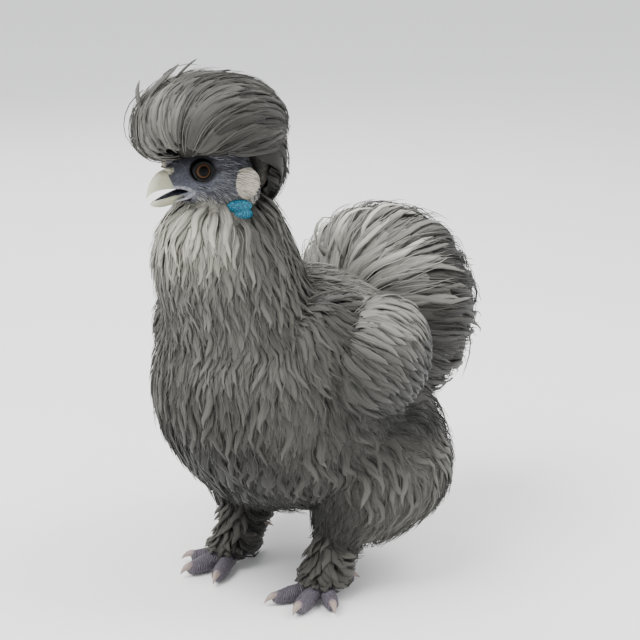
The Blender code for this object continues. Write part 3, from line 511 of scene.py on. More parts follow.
FACE_SLATE = np.array(linear("#43444D"))
FACE_PALE = np.array(linear("#6C6D72"))
LID_DARK = np.array(linear("#08080B"))
MOUTH_DARK = np.array(linear("#12131A"))
FLAP_IVORY = np.array(linear("#8B8878"))


def face_colour(places):
    """The bare face: slate, near black round the eye and inside the mouth, paler on the cheek."""
    local = head_places(places)
    forward, left, up = local.T
    colour = np.broadcast_to(FACE_SLATE, places.shape).copy()
    colour = mixed(colour, FACE_PALE, ramp(-forward, 0.002, 0.016) * 0.7)
    colour = mixed(colour, FACE_PALE, ramp(-up, 0.008, 0.014) * ramp(forward, -0.004, 0.004) * 0.6)
    colour = mixed(colour, LID_DARK, ramp(forward, 0.002, 0.010) * ramp(up, -0.009, -0.004) * 0.35)
    colour = mixed(colour, LID_DARK, ramp(from_eye(local), 0.0080, 0.0058))
    streak = ramp(np.abs(up + 0.10 * forward + 0.0006), 0.0026, 0.0006) * ramp(-forward, 0.004, 0.006) * ramp(forward, -0.019, -0.009)
    colour = mixed(colour, LID_DARK, streak * 0.7)
    brow = ramp(up, 0.001, 0.006) * ramp(forward, 0.018, 0.008)
    colour = mixed(colour, LID_DARK, brow * 0.65)
    fold = np.array(between(MOUTH_FOLD, 22))
    off = np.linalg.norm(local[:, None] * (1, 1, 1) - np.where(left[:, None, None] < 0, fold * (1, -1, 1), fold), axis=2)
    colour = mixed(colour, FACE_PALE * 1.5, ramp(off.min(1), 0.0014, 0.0009) * 0.9)
    inside = (forward > 0.0050) & (up < -0.0094) & (up > -0.0172) & (np.abs(left) < 0.0064 - (forward - 0.005) * 0.2)
    colour[inside] = MOUTH_DARK
    flap = np.linalg.norm((np.abs(local) - np.array(NOSTRIL_FLAP)) / (0.0030, 0.0022, 0.0018), axis=1)
    flap[forward < 0.010] = 9
    colour = mixed(colour, FLAP_IVORY, ramp(flap, 1.0, 0.7))
    # Painted shade: near black in the nostril's hole
    hole = np.linalg.norm((np.abs(local) - np.array(NOSTRIL)) / (0.0020, 0.0026, 0.0011), axis=1)
    hole[(forward < 0.010) | (up > 0.0004)] = 9
    return mixed(colour, MOUTH_DARK, ramp(hole, 1.1, 0.8))


# Bare face skin: matt and finely pebbled, with a web of small creases
skin_finish, skin_tree, skin_shader = finish_named(
    "bare slate skin", {"Roughness": 0.62, "Specular IOR Level": 0.20, "Subsurface Weight": 0.05, "Subsurface Scale": 0.002}
)
skin_tint = node(skin_tree, "ShaderNodeAttribute", attribute_name="tint")
skin_place = node(skin_tree, "ShaderNodeTexCoord")
# Pebbles about 0.7 mm across, and creases about 2.5 mm apart
skin_pebble = node(
    skin_tree, "ShaderNodeTexVoronoi", {"Vector": skin_place.outputs["Object"], "Scale": 1400.0}, feature="SMOOTH_F1"
)
skin_crease = node(
    skin_tree, "ShaderNodeTexNoise",
    {"Vector": skin_place.outputs["Object"], "Scale": 420.0, "Detail": 4.0, "Roughness": 0.65, "Distortion": 1.2},
)
skin_range = node(
    skin_tree, "ShaderNodeMapRange",
    {"Value": skin_crease.outputs["Fac"], "From Min": 0.3, "From Max": 0.7, "To Min": 0.45, "To Max": 1.65},
)
skin_colour = node(
    skin_tree, "ShaderNodeVectorMath", {0: skin_tint.outputs["Color"], 1: skin_range.outputs["Result"]},
    operation="MULTIPLY",
)
skin_tree.links.new(skin_colour.outputs["Vector"], skin_shader.inputs["Base Color"])
skin_height = node(
    skin_tree, "ShaderNodeMath", {0: skin_pebble.outputs["Distance"], 1: skin_crease.outputs["Fac"]}, operation="ADD"
)
skin_bump = node(skin_tree, "ShaderNodeBump", {"Strength": 0.55, "Distance": 0.0005, "Height": skin_height.outputs["Value"]})
skin_tree.links.new(skin_bump.outputs["Normal"], skin_shader.inputs["Normal"])

SMOKE = np.array(linear("#4B4A45"))
DARK_SMOKE = np.array(linear("#32312D"))
# Near black, for painted shade in the coat
SHADE_SMOKE = np.array(linear("#1A1916"))
PALE_SMOKE = np.array(linear("#7B7A73"))
PALE_THROAT = np.array(linear("#A8A599"))


def coat_colour_and_shade(places):
    """The coat's colour at places: pale under the bill, smoke grey, darker low down, partly its own grey and partly
    painted shade, paler on top, and with a band of painted shadow under each wing.
    """
    x, y, z = places.T
    colour = np.broadcast_to(SMOKE, places.shape).copy()
    colour = mixed(colour, DARK_SMOKE, ramp(y, -0.088, -0.050) * ramp(z, 0.225, 0.160))
    colour = mixed(colour, PALE_SMOKE, ramp(y, -0.045, 0.000) * ramp(z, 0.148, 0.168))
    # Painted shade: near black on the lower flanks, between the legs and under the tail, eased back to smoke grey low
    # on the outer thigh
    colour = mixed(colour, SHADE_SMOKE, ramp(z, 0.145, 0.095) * ramp(np.abs(x), 0.062, 0.040) * 0.9)
    colour = mixed(colour, SHADE_SMOKE * 0.35, ramp(z, 0.105, 0.070) * ramp(np.abs(x), 0.040, 0.015))
    colour = mixed(colour, SHADE_SMOKE, ramp(y, 0.000, 0.035) * ramp(z, 0.155, 0.115))
    colour = mixed(colour, SMOKE, ramp(np.abs(x), 0.056, 0.068) * ramp(z, 0.100, 0.080) * ramp(y, 0.035, 0.010))
    # Painted shadow: a dark band on the body under the lower edge of each wing
    wing_shadow = np.exp(-(((z - 0.107 - 0.020 * ramp(-y, 0.010, 0.050)) / 0.006) ** 2))
    wing_shadow *= ramp(np.abs(x), 0.046, 0.054) * ramp(y, 0.035, 0.015) * ramp(-y, 0.060, 0.050)
    colour = mixed(colour, SHADE_SMOKE * 0.4, wing_shadow)
    throat = ramp(-y, 0.084, 0.106) * ramp(z, 0.190, 0.225) * 0.75
    colour = mixed(colour, PALE_THROAT, throat)
    return mixed(colour, PALE_SMOKE, ramp(-y, 0.085, 0.098) * ramp(z, 0.125, 0.160) * (1 - throat) * 0.10)


set_tint(head.data, face_colour(points_of(head)))
# Where the skin shows between locks it takes the coat's colours, darkened as painted shade, and darker still as painted
# shade under the crest's locks
shaded_body_tint = coat_colour_and_shade(points_of(body)) * 0.70
set_tint(body.data, mixed(shaded_body_tint, DARK_SMOKE * 0.6, ramp(head_places(points_of(body))[:, 2], -0.006, 0.002)))
skin = joined("skin", [body, head])

# ---------------------------------------------------------------- Body coat
# Silkie feathers have no hooks, so they part into soft silky locks. Each lock is a thin crowned
# blade that tapers to a point, with its root under its neighbours.


def unit(rows):
    return rows / np.maximum(np.linalg.norm(rows, axis=-1, keepdims=True), 1e-12)


def tree_of(obj):
    mesh = obj.data
    return BVHTree.FromPolygons([v.co for v in mesh.vertices], [p.vertices for p in mesh.polygons])


def on_surface(tree, places):
    """The nearest points of a surface, and the way out of it there."""
    found = [tree.find_nearest(place)[:2] for place in places.tolist()]
    return np.array([tuple(p) for p, _ in found]), np.array([tuple(n) for _, n in found])


def scatter(obj, spacing, seed):
    """Points spread at random over an object, none closer together than the spacing."""
    mesh = obj.data
    mesh.calc_loop_triangles()
    count = len(mesh.loop_triangles)
    corners = np.empty(count * 3, int)
    mesh.loop_triangles.foreach_get("vertices", corners)
    triangles = points_of(obj)[corners.reshape(-1, 3)]
    area = np.linalg.norm(np.cross(triangles[:, 1] - triangles[:, 0], triangles[:, 2] - triangles[:, 0]), axis=1)
    dice = np.random.default_rng(seed)
    tries = int(area.sum() / 2 / spacing**2 * 4)
    chosen = dice.choice(count, tries, p=area / area.sum())
    u, v = dice.random(tries), dice.random(tries)
    flip = u + v > 1
    u[flip], v[flip] = 1 - u[flip], 1 - v[flip]
    t = triangles[chosen]
    points = t[:, 0] + u[:, None] * (t[:, 1] - t[:, 0]) + v[:, None] * (t[:, 2] - t[:, 0])
    cells = {}
    kept = []
    keys = np.floor(points / spacing).astype(int).tolist()
    rows = points.tolist()
    least = spacing**2
    for i, (px, py, pz) in enumerate(rows):
        a, b, c = keys[i]
        clear = True
        for key in ((a + i1, b + i2, c + i3) for i1 in (-1, 0, 1) for i2 in (-1, 0, 1) for i3 in (-1, 0, 1)):
            for qx, qy, qz in cells.get(key, ()):
                if (qx - px) ** 2 + (qy - py) ** 2 + (qz - pz) ** 2 < least:
                    clear = False
                    break
            if not clear:
                break
        if clear:
            cells.setdefault((a, b, c), []).append((px, py, pz))
            kept.append(i)
    return points[kept]


def follow(tree, roots, lie, lengths, steps):
    """Walks from each root over a surface along the lie of the feathers."""
    place = roots
    trail, ups = [], []
    for _ in range(steps + 1):
        place, up = on_surface(tree, place)
        trail.append(place)
        ups.append(up)
        way = lie(place)
        way = unit(way - up * (way * up).sum(1, keepdims=True))
        place = place + way * (lengths / steps)[:, None]
    return np.stack(trail, 1), np.stack(ups, 1)


# Section of a lock: place across, in half widths, and height, in thicknesses
BROAD = np.array([(-1.0, 0.0), (-0.55, 0.75), (0.0, 1.0), (0.55, 0.75), (1.0, 0.0), (0.0, -0.45)])
SLIM = np.array([(-1.0, 0.0), (0.0, 1.0), (1.0, 0.0), (0.0, -0.5)])
STRAND = np.array([(-1.0, -0.4), (0.0, 1.0), (1.0, -0.4)])


def swell(places):
    """A slow, smooth change from place to place, for waves and tones that neighbours share."""
    x, y, z = places.T * 1000
    return (
        np.sin(x / 9.0 + 1.3 * np.sin(z / 17.0) + y / 21.0)
        + np.sin(y / 8.0 - z / 23.0 + 1.7 * np.sin(x / 13.0))
        + 0.6 * np.sin(z / 7.0 + x / 11.0 + y / 15.0)
    )


def lock_mesh(name, trail, ups, width, thickness, taper, section, tint, shading, rim, roll):
    """One mesh of many locks: each follows its trail and tapers to a point."""
    count, rings = trail.shape[:2]
    ahead = unit(np.gradient(trail, axis=1))
    across = unit(np.cross(ahead, ups))
    top = np.cross(across, ahead)
    turn = roll[:, None, None]
    across, top = across * np.cos(turn) + top * np.sin(turn), top * np.cos(turn) - across * np.sin(turn)
    body = rings - 1
    sides = len(section)
    wide = width[:, None] * taper[None, :body]
    thick = thickness[:, None] * np.sqrt(taper[None, :body])
    verts = (
        trail[:, :body, None]
        + across[:, :body, None] * (wide[..., None] * section[:, 0])[..., None]
        + top[:, :body, None] * (thick[..., None] * section[:, 1])[..., None]
    ).reshape(count, body * sides, 3)
    verts = np.concatenate([verts, trail[:, -1:]], 1)
    each = body * sides + 1

    quads = [
        (r * sides + s, r * sides + (s + 1) % sides, (r + 1) * sides + (s + 1) % sides, (r + 1) * sides + s)
        for r in range(body - 1) for s in range(sides)
    ]
    tips = [((body - 1) * sides + s, (body - 1) * sides + (s + 1) % sides, each - 1) for s in range(sides)]
    pattern = np.concatenate([np.ravel(quads), np.ravel(tips), np.arange(sides)[::-1]]).astype(int)
    sizes = np.array([4] * len(quads) + [3] * sides + [sides])
    loops = (pattern[None] + (np.arange(count) * each)[:, None]).ravel()
    totals = np.tile(sizes, count)

    mesh = bpy.data.meshes.new(name)
    mesh.vertices.add(count * each)
    mesh.vertices.foreach_set("co", verts.ravel())
    mesh.loops.add(len(loops))
    mesh.loops.foreach_set("vertex_index", loops)
    mesh.polygons.add(len(totals))
    mesh.polygons.foreach_set("loop_start", np.concatenate([[0], np.cumsum(totals)[:-1]]))
    mesh.update(calc_edges=True)

    # Tint: darker at the root, at the edges and underneath, as light fades between locks
    along = np.interp(np.linspace(0, 1, rings), np.linspace(0, 1, len(shading)), shading)
    fade = 1.0 - (1.0 - rim) * np.abs(section[:, 0]) ** 2
    fade = np.where(section[:, 1] < -0.2, fade * 0.6, fade)
    colour = tint[:, None, None] * (along[:body, None] * fade[None])[None, ..., None]
    colour = np.concatenate([colour.reshape(count, body * sides, 3), tint[:, None] * along[-1]], 1)
    set_tint(mesh, colour.reshape(-1, 3))

    # Lie map: millimetres across and along a lock, for its fine strands
    reach = np.linalg.norm(np.diff(trail, axis=1), axis=2).cumsum(1)
    reach = np.concatenate([np.zeros((count, 1)), reach], 1) * 1000
    place = np.random.default_rng(count).random(count) * 900
    u = place[:, None, None] + (width[:, None] * 1000)[..., None] * section[:, 0] * np.ones((1, body, 1))
    v = reach[:, :body, None] + np.zeros((1, 1, sides)) + place[:, None, None]
    u = np.concatenate([u.reshape(count, -1), place[:, None]], 1).ravel()
    v = np.concatenate([v.reshape(count, -1), reach[:, -1:] + place[:, None]], 1).ravel()
    mesh.uv_layers.new(name="lie").data.foreach_set("uv", np.stack([u[loops], v[loops]], 1).ravel())
    return mesh, loops, each


def unwrapped(places, middle):
    """Places as a map of the skin, unrolled round the middle of its part: round, and up."""
    away = places - np.array(middle)
    return np.stack([
        np.arctan2(away[:, 0], -away[:, 1]) / (2 * math.pi) + 0.5,
        np.arctan2(away[:, 2], np.linalg.norm(away[:, :2], axis=1)) / math.pi + 0.5,
    ], 1)


# Widths from root to tip, and heights over the line that is followed
FULL = np.array([0.55, 0.90, 1.00, 0.94, 0.76, 0.46, 0.0])
LAID = np.array([-0.0030, -0.0010, 0.0004, 0.0010, 0.0013, 0.0015, 0.0016])
PROUD = np.array([-0.0030, 0.0002, 0.0018, 0.0028, 0.0034, 0.0038, 0.0040])
SOFT_SHADE = (0.62, 0.86, 0.98, 1.02, 1.06)
SMOOTH_SHADE = (0.92, 0.97, 1.0, 1.02, 1.05)
DEEP_SHADE = (0.55, 0.72, 0.92, 1.12, 1.35)


def coat(name, tree, roots, lie, middle, length, width, thickness, seed, section=BROAD, taper=FULL, lift=LAID,
         shade=SOFT_SHADE, rim=0.80, roll=0.12, fluff=0.0004, spread=0.10, wave=(0.0, 0.02), tone=1.0,
         colour=coat_colour_and_shade, slot="grey_plumage"):
    """A layer of locks on roots, each a little different in length, width, height, turn and tone."""
    dice = np.random.default_rng(seed)
    count = len(roots)
    steps = len(taper) - 1
    lengths = length * dice.uniform(0.75, 1.25, count)
    trail, ups = follow(tree, roots, lie, lengths, steps)
    share = np.linspace(0, 1, steps + 1)[None]
    heights = lift[None] + np.abs(dice.normal(0, fluff, count))[:, None] * share * 1.6
    reach, length_of_wave = wave
    phase = swell(roots)[:, None] * 1.7 + dice.normal(0, 0.35, count)[:, None]
    sway = reach * np.sin(share * lengths[:, None] / length_of_wave * 2 * math.pi + phase) * np.minimum(share * 2.2, 1)
    ahead = unit(np.gradient(trail, axis=1))
    across = unit(np.cross(ahead, ups))
    trail = trail + ups * heights[..., None] + across * sway[..., None]
    tones = tone * np.clip(1 + spread * dice.standard_normal(count) + 0.06 * swell(roots), 0.55, 1.6)
    mesh, loops, each = lock_mesh(
        name, trail, ups, width * dice.uniform(0.72, 1.28, count), thickness * dice.uniform(0.8, 1.2, count),
        taper, section, colour(trail[:, steps // 2]) * tones[:, None], shade, rim, dice.normal(0, roll, count),
    )
    # Bake map: each lock has a small patch of its own, at its root's place on the unrolled skin
    patch = 0.003
    corner = np.stack([np.arange(each) % len(section) / len(section), np.arange(each) / each], 1) * patch
    bake = (unwrapped(roots, middle)[:, None] * (1 - patch) + corner[None]).reshape(-1, 2)
    mesh.uv_layers.new(name="OFBake").data.foreach_set("uv", bake[loops].ravel())
    made = bpy.data.objects.new(name, mesh)
    bpy.context.scene.collection.objects.link(made)
    return settle(made, down, slot)


# Silkie down: soft, matt and finely stranded, with a faint sheen along each strand
down, down_tree, down_shader = finish_named(
    "silky feather down",
    {"Roughness": 0.60, "Sheen Weight": 0.08, "Sheen Roughness": 0.5, "Specular IOR Level": 0.30},
)
down_tint = node(down_tree, "ShaderNodeAttribute", attribute_name="tint")
down_lie = node(down_tree, "ShaderNodeUVMap", uv_map="lie")
# Strands are under 0.1 mm wide, drawn about 0.9 mm wide and 14 mm long so that they show
down_place = node(down_tree, "ShaderNodeMapping", {"Vector": down_lie.outputs["UV"], "Scale": (1.1, 0.07, 1.0)})
down_noise = node(
    down_tree, "ShaderNodeTexNoise",
    {"Vector": down_place.outputs["Vector"], "Scale": 1.0, "Detail": 3.0, "Roughness": 0.62},
)
down_range = node(
    down_tree, "ShaderNodeMapRange",
    {"Value": down_noise.outputs["Fac"], "From Min": 0.30, "From Max": 0.70, "To Min": 0.74, "To Max": 1.28},
)
down_colour = node(
    down_tree, "ShaderNodeVectorMath", {0: down_tint.outputs["Color"], 1: down_range.outputs["Result"]},
    operation="MULTIPLY",
)
down_tree.links.new(down_colour.outputs["Vector"], down_shader.inputs["Base Color"])
down_bump = node(down_tree, "ShaderNodeBump", {"Strength": 0.5, "Distance": 0.0004, "Height": down_noise.outputs["Fac"]})
down_tree.links.new(down_bump.outputs["Normal"], down_shader.inputs["Normal"])


SHOULDER = (0.0450, -0.1300, 0.2350)
WING_TIP = (0.0600, 0.0450, 0.0950)


def wing_lie(places):
    """From the shoulder, back and down over the folded wing to its tip."""
    side = np.where(places[:, :1] < 0, -1.0, 1.0) * np.array([[1.0, 0.0, 0.0]]) + np.array([[0.0, 1.0, 1.0]])
    out, to = places - side * SHOULDER, side * WING_TIP - places
    return out / (out**2).sum(1, keepdims=True) + to / (to**2).sum(1, keepdims=True)


def body_lie(places):
    """Down the neck and breast, back along wings, flanks and saddle, and in towards the shank."""
    x, y, z = places.T
    side = np.where(x < 0, -1.0, 1.0)
    behind = ramp(y, -0.085, -0.015)
    above = ramp(z, 0.120, 0.175) * ramp(y, -0.055, -0.015)
    way = np.zeros_like(places)
    way[:, 2] = -1.0 + 0.25 * behind * (z > 0.08)
    way[:, 1] = 0.75 * behind * ramp(np.abs(x), 0.005, 0.045) + 1.4 * above
    on_shoulder = ramp(np.abs(x), 0.018, 0.036) * ramp(z, 0.130, 0.150) * ramp(y, -0.090, -0.060) * ramp(y, 0.010, -0.020)
    way = unit(way)
    way[:, 0] += side * 0.85 * on_shoulder
    way[:, 1] += 0.30 * on_shoulder
    on_wing = ramp(np.abs(x), 0.034, 0.060) * ramp(z, 0.100, 0.125) * ramp(y, -0.068, -0.026)
    way = unit(way) * (1 - on_wing)[:, None] + unit(wing_lie(places)) * on_wing[:, None]
    low = ramp(z, 0.092, 0.045) * ramp(np.abs(x), 0.006, 0.018)
    ankle = np.stack([side * 0.0365, np.full(len(x), -0.022), np.full(len(x), 0.026)], 1)
    way = unit(way) * (1 - low)[:, None] + unit(ankle - places) * low[:, None]
    on_shank = ramp(z, 0.040, 0.028)
    back = np.stack([side * 0.25, np.full(len(x), 1.0), np.full(len(x), -0.55)], 1)
    way = way * (1 - on_shank)[:, None] + unit(back) * on_shank[:, None]
    wander = 0.16 * np.sin(swell(places) * 1.3 + z * 150.0)
    flat = ramp(np.abs(y + 0.02), 0.03, 0.07)
    way[:, 0] += wander * flat
    way[:, 1] += wander * (1 - flat)
    return way


body_tree = tree_of(body_line)
BODY_MIDDLE = (0.0, -0.030, 0.120)
FACE_BACK = -0.020
EAR_CENTRE = (-0.0225, 0.0135, -0.0074)
EAR_RADII = (0.0064, 0.0032, 0.0078)
LOBE_CENTRE = (-0.0189, 0.0146, -0.0216)
LOBE_RADII = (0.0074, 0.0032, 0.0058)


def near_pad(local, centre, radii):
    """How far places on the head lie from a pad, in its radii, seen from the side."""
    return np.hypot((local[:, 0] - centre[0]) / radii[0], (local[:, 2] - centre[2]) / radii[2])


def off_face(places):
    """Whether places lie below and behind the face, where the neck's coat starts."""
    forward, left, up = head_places(places).T
    over_lobe = (np.abs(forward - LOBE_CENTRE[0]) < 0.0080) & (up > -0.0240)
    over_ear = (np.abs(forward - EAR_CENTRE[0]) < 0.0078) & (up > -0.0165)
    return ((up < -0.0170) | (forward < FACE_BACK)) & ~over_lobe & ~over_ear


def regions(places):
    """Whether each place is on the neck, the trunk or a leg."""
    x, y, z = places.T
    neck = (z > 0.150) & (y < -0.028) & (z < 0.246) & off_face(places)
    leg = (z < 0.086) & (np.abs(x) > 0.010)
    trunk = (z <= 0.150) & ~leg | (z > 0.150) & (y >= -0.028)
    return neck, trunk, leg


def tufted(places):
    """How thickly tufts stand loose: along the lower edges of neck, breast and thigh, and on the throat."""
    x, y, z = places.T
    height = z + 0.006 * np.sin(swell(places) * 1.5)
    front = ramp(-y, 0.030, 0.060)
    neck_edge = np.exp(-(((height - 0.166) / 0.012) ** 2)) * ramp(-y, 0.010, 0.040)
    breast_edge = np.exp(-(((height - 0.100) / 0.016) ** 2)) * front
    breast_middle = np.exp(-(((height - 0.135) / 0.008) ** 2)) * front * 0.5
    thigh = np.exp(-(((height - 0.092) / 0.016) ** 2)) * (1 - front) * 0.7
    throat = ramp(height, 0.180, 0.195)
    return np.maximum.reduce([neck_edge, breast_edge, breast_middle, thigh, throat, np.full(len(x), 0.06)])


broad_roots = scatter(body_line, 0.0043, 11)
slim_roots = scatter(body_line, 0.0050, 12)
strand_roots = scatter(body_line, 0.0031, 13)
neck, trunk, leg = regions(broad_roots)
coat("coat_neck", body_tree, broad_roots[neck], body_lie, BODY_MIDDLE, 0.030, 0.0038, 0.0007, 21,
     roll=0.06, rim=0.82, wave=(0.0013, 0.024), slot="pale_plumage")
coat("coat_trunk", body_tree, broad_roots[trunk], body_lie, BODY_MIDDLE, 0.040, 0.0058, 0.0004, 22,
     shade=SMOOTH_SHADE, roll=0.02, rim=0.95, fluff=0.00015, spread=0.05, wave=(0.0014, 0.030))
coat("coat_legs", body_tree, broad_roots[leg], body_lie, BODY_MIDDLE, 0.030, 0.0048, 0.0005, 23,
     shade=SMOOTH_SHADE, roll=0.02, rim=0.95, fluff=0.00015, spread=0.05, wave=(0.0010, 0.026))
dice = np.random.default_rng(14)
slim_roots = slim_roots[dice.random(len(slim_roots)) < tufted(slim_roots)]
neck, trunk, leg = regions(slim_roots)
coat("locks_neck", body_tree, slim_roots[neck], body_lie, BODY_MIDDLE, 0.028, 0.0020, 0.0008, 24, lift=PROUD * 0.8,
     shade=DEEP_SHADE, rim=0.70, roll=0.15, wave=(0.0018, 0.023), spread=0.14, slot="pale_plumage")
coat("locks_trunk", body_tree, slim_roots[trunk], body_lie, BODY_MIDDLE, 0.032, 0.0028, 0.0009, 25, lift=PROUD * 0.9,
     shade=DEEP_SHADE, rim=0.78, roll=0.12, wave=(0.0026, 0.028))
coat("locks_legs", body_tree, slim_roots[leg], body_lie, BODY_MIDDLE, 0.028, 0.0028, 0.0009, 26, lift=PROUD * 0.8,
     shade=DEEP_SHADE, rim=0.78, roll=0.12, wave=(0.0024, 0.026))
FINE = np.array([0.8, 1.0, 1.0, 0.8, 0.5, 0.0])
FINE_LIFT = np.array([-0.0010, 0.0016, 0.0026, 0.0033, 0.0037, 0.0040])
neck, trunk, leg = regions(strand_roots)
for word, where, seed, slot in (
    ("neck", neck, 27, "pale_plumage"), ("trunk", trunk, 28, "grey_plumage"), ("legs", leg, 29, "grey_plumage"),
):
    coat(f"strands_{word}", body_tree, strand_roots[where], body_lie, BODY_MIDDLE, 0.020, 0.00028, 0.00024, seed,
         section=STRAND, taper=FINE, lift=FINE_LIFT, shade=(0.8, 0.95, 1.05, 1.2), rim=1.0, roll=0.4, fluff=0.0007,
         spread=0.25, wave=(0.0013, 0.022), tone=1.1, slot=slot)
settle(skin, skin_finish, "grey_plumage", "torso", "neck", "head", "thigh_left", "thigh_right", "shank_left", "shank_right")

# ---------------------------------------------------------------- Wings
# Each folded wing is a smooth rounded pad of long soft feathers. They lie back from the shoulder,
# and their tips break loose along its rear and lower edge.


def wing_colour_and_shade(places):
    """Smoke grey on the shoulder, darkened with painted shade towards the wing's rear and lower edge."""
    x, y, z = places.T
    colour = mixed(np.broadcast_to(SMOKE * 0.7, places.shape), PALE_SMOKE, ramp(z, 0.148, 0.172))
    return mixed(colour, SHADE_SMOKE * 0.5, ramp(y - z, -0.185, -0.145))


def proud_of_body(places):
    """Whether places on a wing stand out of the body's coat."""
    nearest, ups = on_surface(body_tree, places)
    return ((places - nearest) * ups).sum(1) > 0.0004


for side, word in ((1, "left"), (-1, "right")):
    wing_tree = tree_of(wing_lines[side])
    wing_middle = (side * WING_CENTRE.x, WING_CENTRE.y, WING_CENTRE.z)
    roots = scatter(wing_lines[side], 0.0036, 51)
    roots = roots[proud_of_body(roots)]
    coat(f"coat_wing_{word}", wing_tree, roots, wing_lie, wing_middle, 0.034, 0.0048, 0.0005, 52, roll=0.04,
         shade=SMOOTH_SHADE, rim=0.96, fluff=0.00015, spread=0.05, wave=(0.0006, 0.03), lift=LAID * 0.8, colour=wing_colour_and_shade)
    slim = scatter(wing_lines[side], 0.0042, 53)
    slim = slim[proud_of_body(slim)]
    coat(f"locks_wing_{word}", wing_tree, slim, wing_lie, wing_middle, 0.028, 0.0024, 0.0006, 54, section=SLIM,
         lift=PROUD * 0.7, shade=(0.8, 0.88, 1.0, 1.12, 1.25), rim=0.85, roll=0.1, wave=(0.0008, 0.026), colour=wing_colour_and_shade)
    fine = scatter(wing_lines[side], 0.0027, 55)
    fine = fine[proud_of_body(fine)]
    strands = coat(f"strands_wing_{word}", wing_tree, fine, wing_lie, wing_middle, 0.018, 0.00025, 0.0002, 56,
         section=STRAND, taper=FINE, lift=FINE_LIFT * 0.55, shade=(0.8, 0.95, 1.05, 1.2), rim=1.0, spread=0.25,
         wave=(0.0007, 0.026), tone=1.1, colour=wing_colour_and_shade)
    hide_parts(f"wing_{word}")

# ---------------------------------------------------------------- Tail
# The tail is a round pom of soft arching feathers. They spring from the rump, fan out over the
# top and sides, and droop behind, with a few thin ones standing free.


def dipole(source, sink):
    """Lie lines that leave a source and gather at a sink."""
    a, b = np.array(source), np.array(sink)

    def lie(places):
        out, to = places - a, b - places
        return out / (out**2).sum(1, keepdims=True) + to / (to**2).sum(1, keepdims=True)

    return lie


def tail_colour_and_shade(places):
    """Paler where the tail fans up in front, and dark with painted shade where it droops behind."""
    x, y, z = places.T
    colour = mixed(np.broadcast_to(DARK_SMOKE, places.shape), PALE_SMOKE, ramp(y, 0.066, 0.036) * ramp(z, 0.145, 0.185) * 0.3)
    colour = mixed(colour, PALE_SMOKE * 1.5, ramp(y, 0.062, 0.030) * ramp(z, 0.150, 0.185))
    return mixed(colour, SHADE_SMOKE * 0.6, ramp(y, 0.056, 0.086) * ramp(z, 0.205, 0.170))


tail_lie = dipole((0.0, 0.006, 0.150), (0.0, 0.175, 0.030))
tail_tree = tree_of(tail_line)
tail_roots = scatter(tail_line, 0.0052, 41)
tail_end = tail_roots[tail_roots[:, 1] > 0.076]
tail_roots = tail_roots[tail_roots[:, 1] < 0.092]
LONG = np.array([0.45, 0.75, 0.92, 1.00, 0.98, 0.88, 0.70, 0.42, 0.0])
LONG_LAID = np.array([-0.0040, -0.0012, 0.0003, 0.0010, 0.0013, 0.0015, 0.0017, 0.0020, 0.0022])
LONG_PROUD = np.array([-0.0040, 0.0004, 0.0020, 0.0032, 0.0040, 0.0044, 0.0046, 0.0044, 0.0040])
coat("coat_tail", tail_tree, tail_roots, tail_lie, tuple(TAIL_CENTRE), 0.060, 0.0058, 0.0009, 42, taper=LONG,
     lift=LONG_LAID, rim=0.62, roll=0.14, wave=(0.0012, 0.045), fluff=0.0008, colour=tail_colour_and_shade)
coat("coat_tail_end", tail_tree, tail_end, tail_lie, tuple(TAIL_CENTRE), 0.016, 0.0044, 0.0008, 48, rim=0.70,
     lift=LAID - 0.0006, colour=tail_colour_and_shade)
vane_roots = scatter(tail_line, 0.0085, 43)
vane_roots = vane_roots[vane_roots[:, 1] < 0.080]
tail_locks = coat("locks_tail", tail_tree, vane_roots, tail_lie, tuple(TAIL_CENTRE), 0.064, 0.0020, 0.0008, 44,
     taper=LONG, lift=LONG_PROUD, shade=DEEP_SHADE, rim=0.65, roll=0.35, wave=(0.0020, 0.050), fluff=0.0015,
     spread=0.16, colour=tail_colour_and_shade)
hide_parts("tail")
fine_roots = scatter(tail_line, 0.0042, 45)
LONG_FINE = np.array([0.8, 1.0, 1.0, 1.0, 0.9, 0.7, 0.45, 0.0])
LONG_FINE_LIFT = np.array([-0.0010, 0.0020, 0.0036, 0.0046, 0.0052, 0.0058, 0.0062, 0.0064])
coat("strands_tail", tail_tree, fine_roots[fine_roots[:, 1] < 0.085], tail_lie, tuple(TAIL_CENTRE), 0.044, 0.0003,
     0.00026, 46, section=STRAND, taper=LONG_FINE, lift=LONG_FINE_LIFT, shade=(0.8, 1.0, 1.1, 1.2), rim=1.0,
     spread=0.25, fluff=0.0014, wave=(0.0018, 0.045), tone=1.1, colour=tail_colour_and_shade)

# ---------------------------------------------------------------- Crest
# The crest is a high dome of long soft feathers. They spring from the brow, sweep forward and up
# over the crown, and fall behind the head to the nape.

BROW = 0.018
CREST_SINK = np.array(on_head(-0.056, 0.0, -0.050))


def crest_lie(places):
    """Away from the line of the brow, and round to the nape."""
    local = head_places(places)
    brow = np.clip(local[:, 1], -BROW, BROW)
    line = np.array([on_head(0.010, b, 0.002) for b in brow])
    out, to = places - line, CREST_SINK - places
    return out / (out**2).sum(1, keepdims=True) + 1.1 * to / (to**2).sum(1, keepdims=True)


def crest_colour_and_light(places):
    """Paler at the front of the dome, and dark behind and below, as painted light and shade."""
    forward, left, up = head_places(places).T
    colour = mixed(np.broadcast_to(DARK_SMOKE, places.shape), SMOKE * 0.8, ramp(forward, -0.010, 0.012))
    colour = mixed(colour, PALE_SMOKE, ramp(forward, -0.002, 0.030) * ramp(up, 0.008, 0.026) * 0.5)
    return mixed(colour, SHADE_SMOKE, ramp(up, 0.014, 0.000) * 0.7)


crest_tree = tree_of(crest_line)
CREST_MIDDLE = tuple(on_head(*DOME_CENTRE))


def above_face(places, lowest):
    """Whether places lie above the face and clear of the eyes."""
    forward, left, up = head_places(places).T
    aside = np.maximum(ramp(np.abs(left), 0.006, 0.011), ramp(-forward, -0.002, 0.004))
    return (up > lowest + 0.0066 * aside) | (forward < -0.0335)


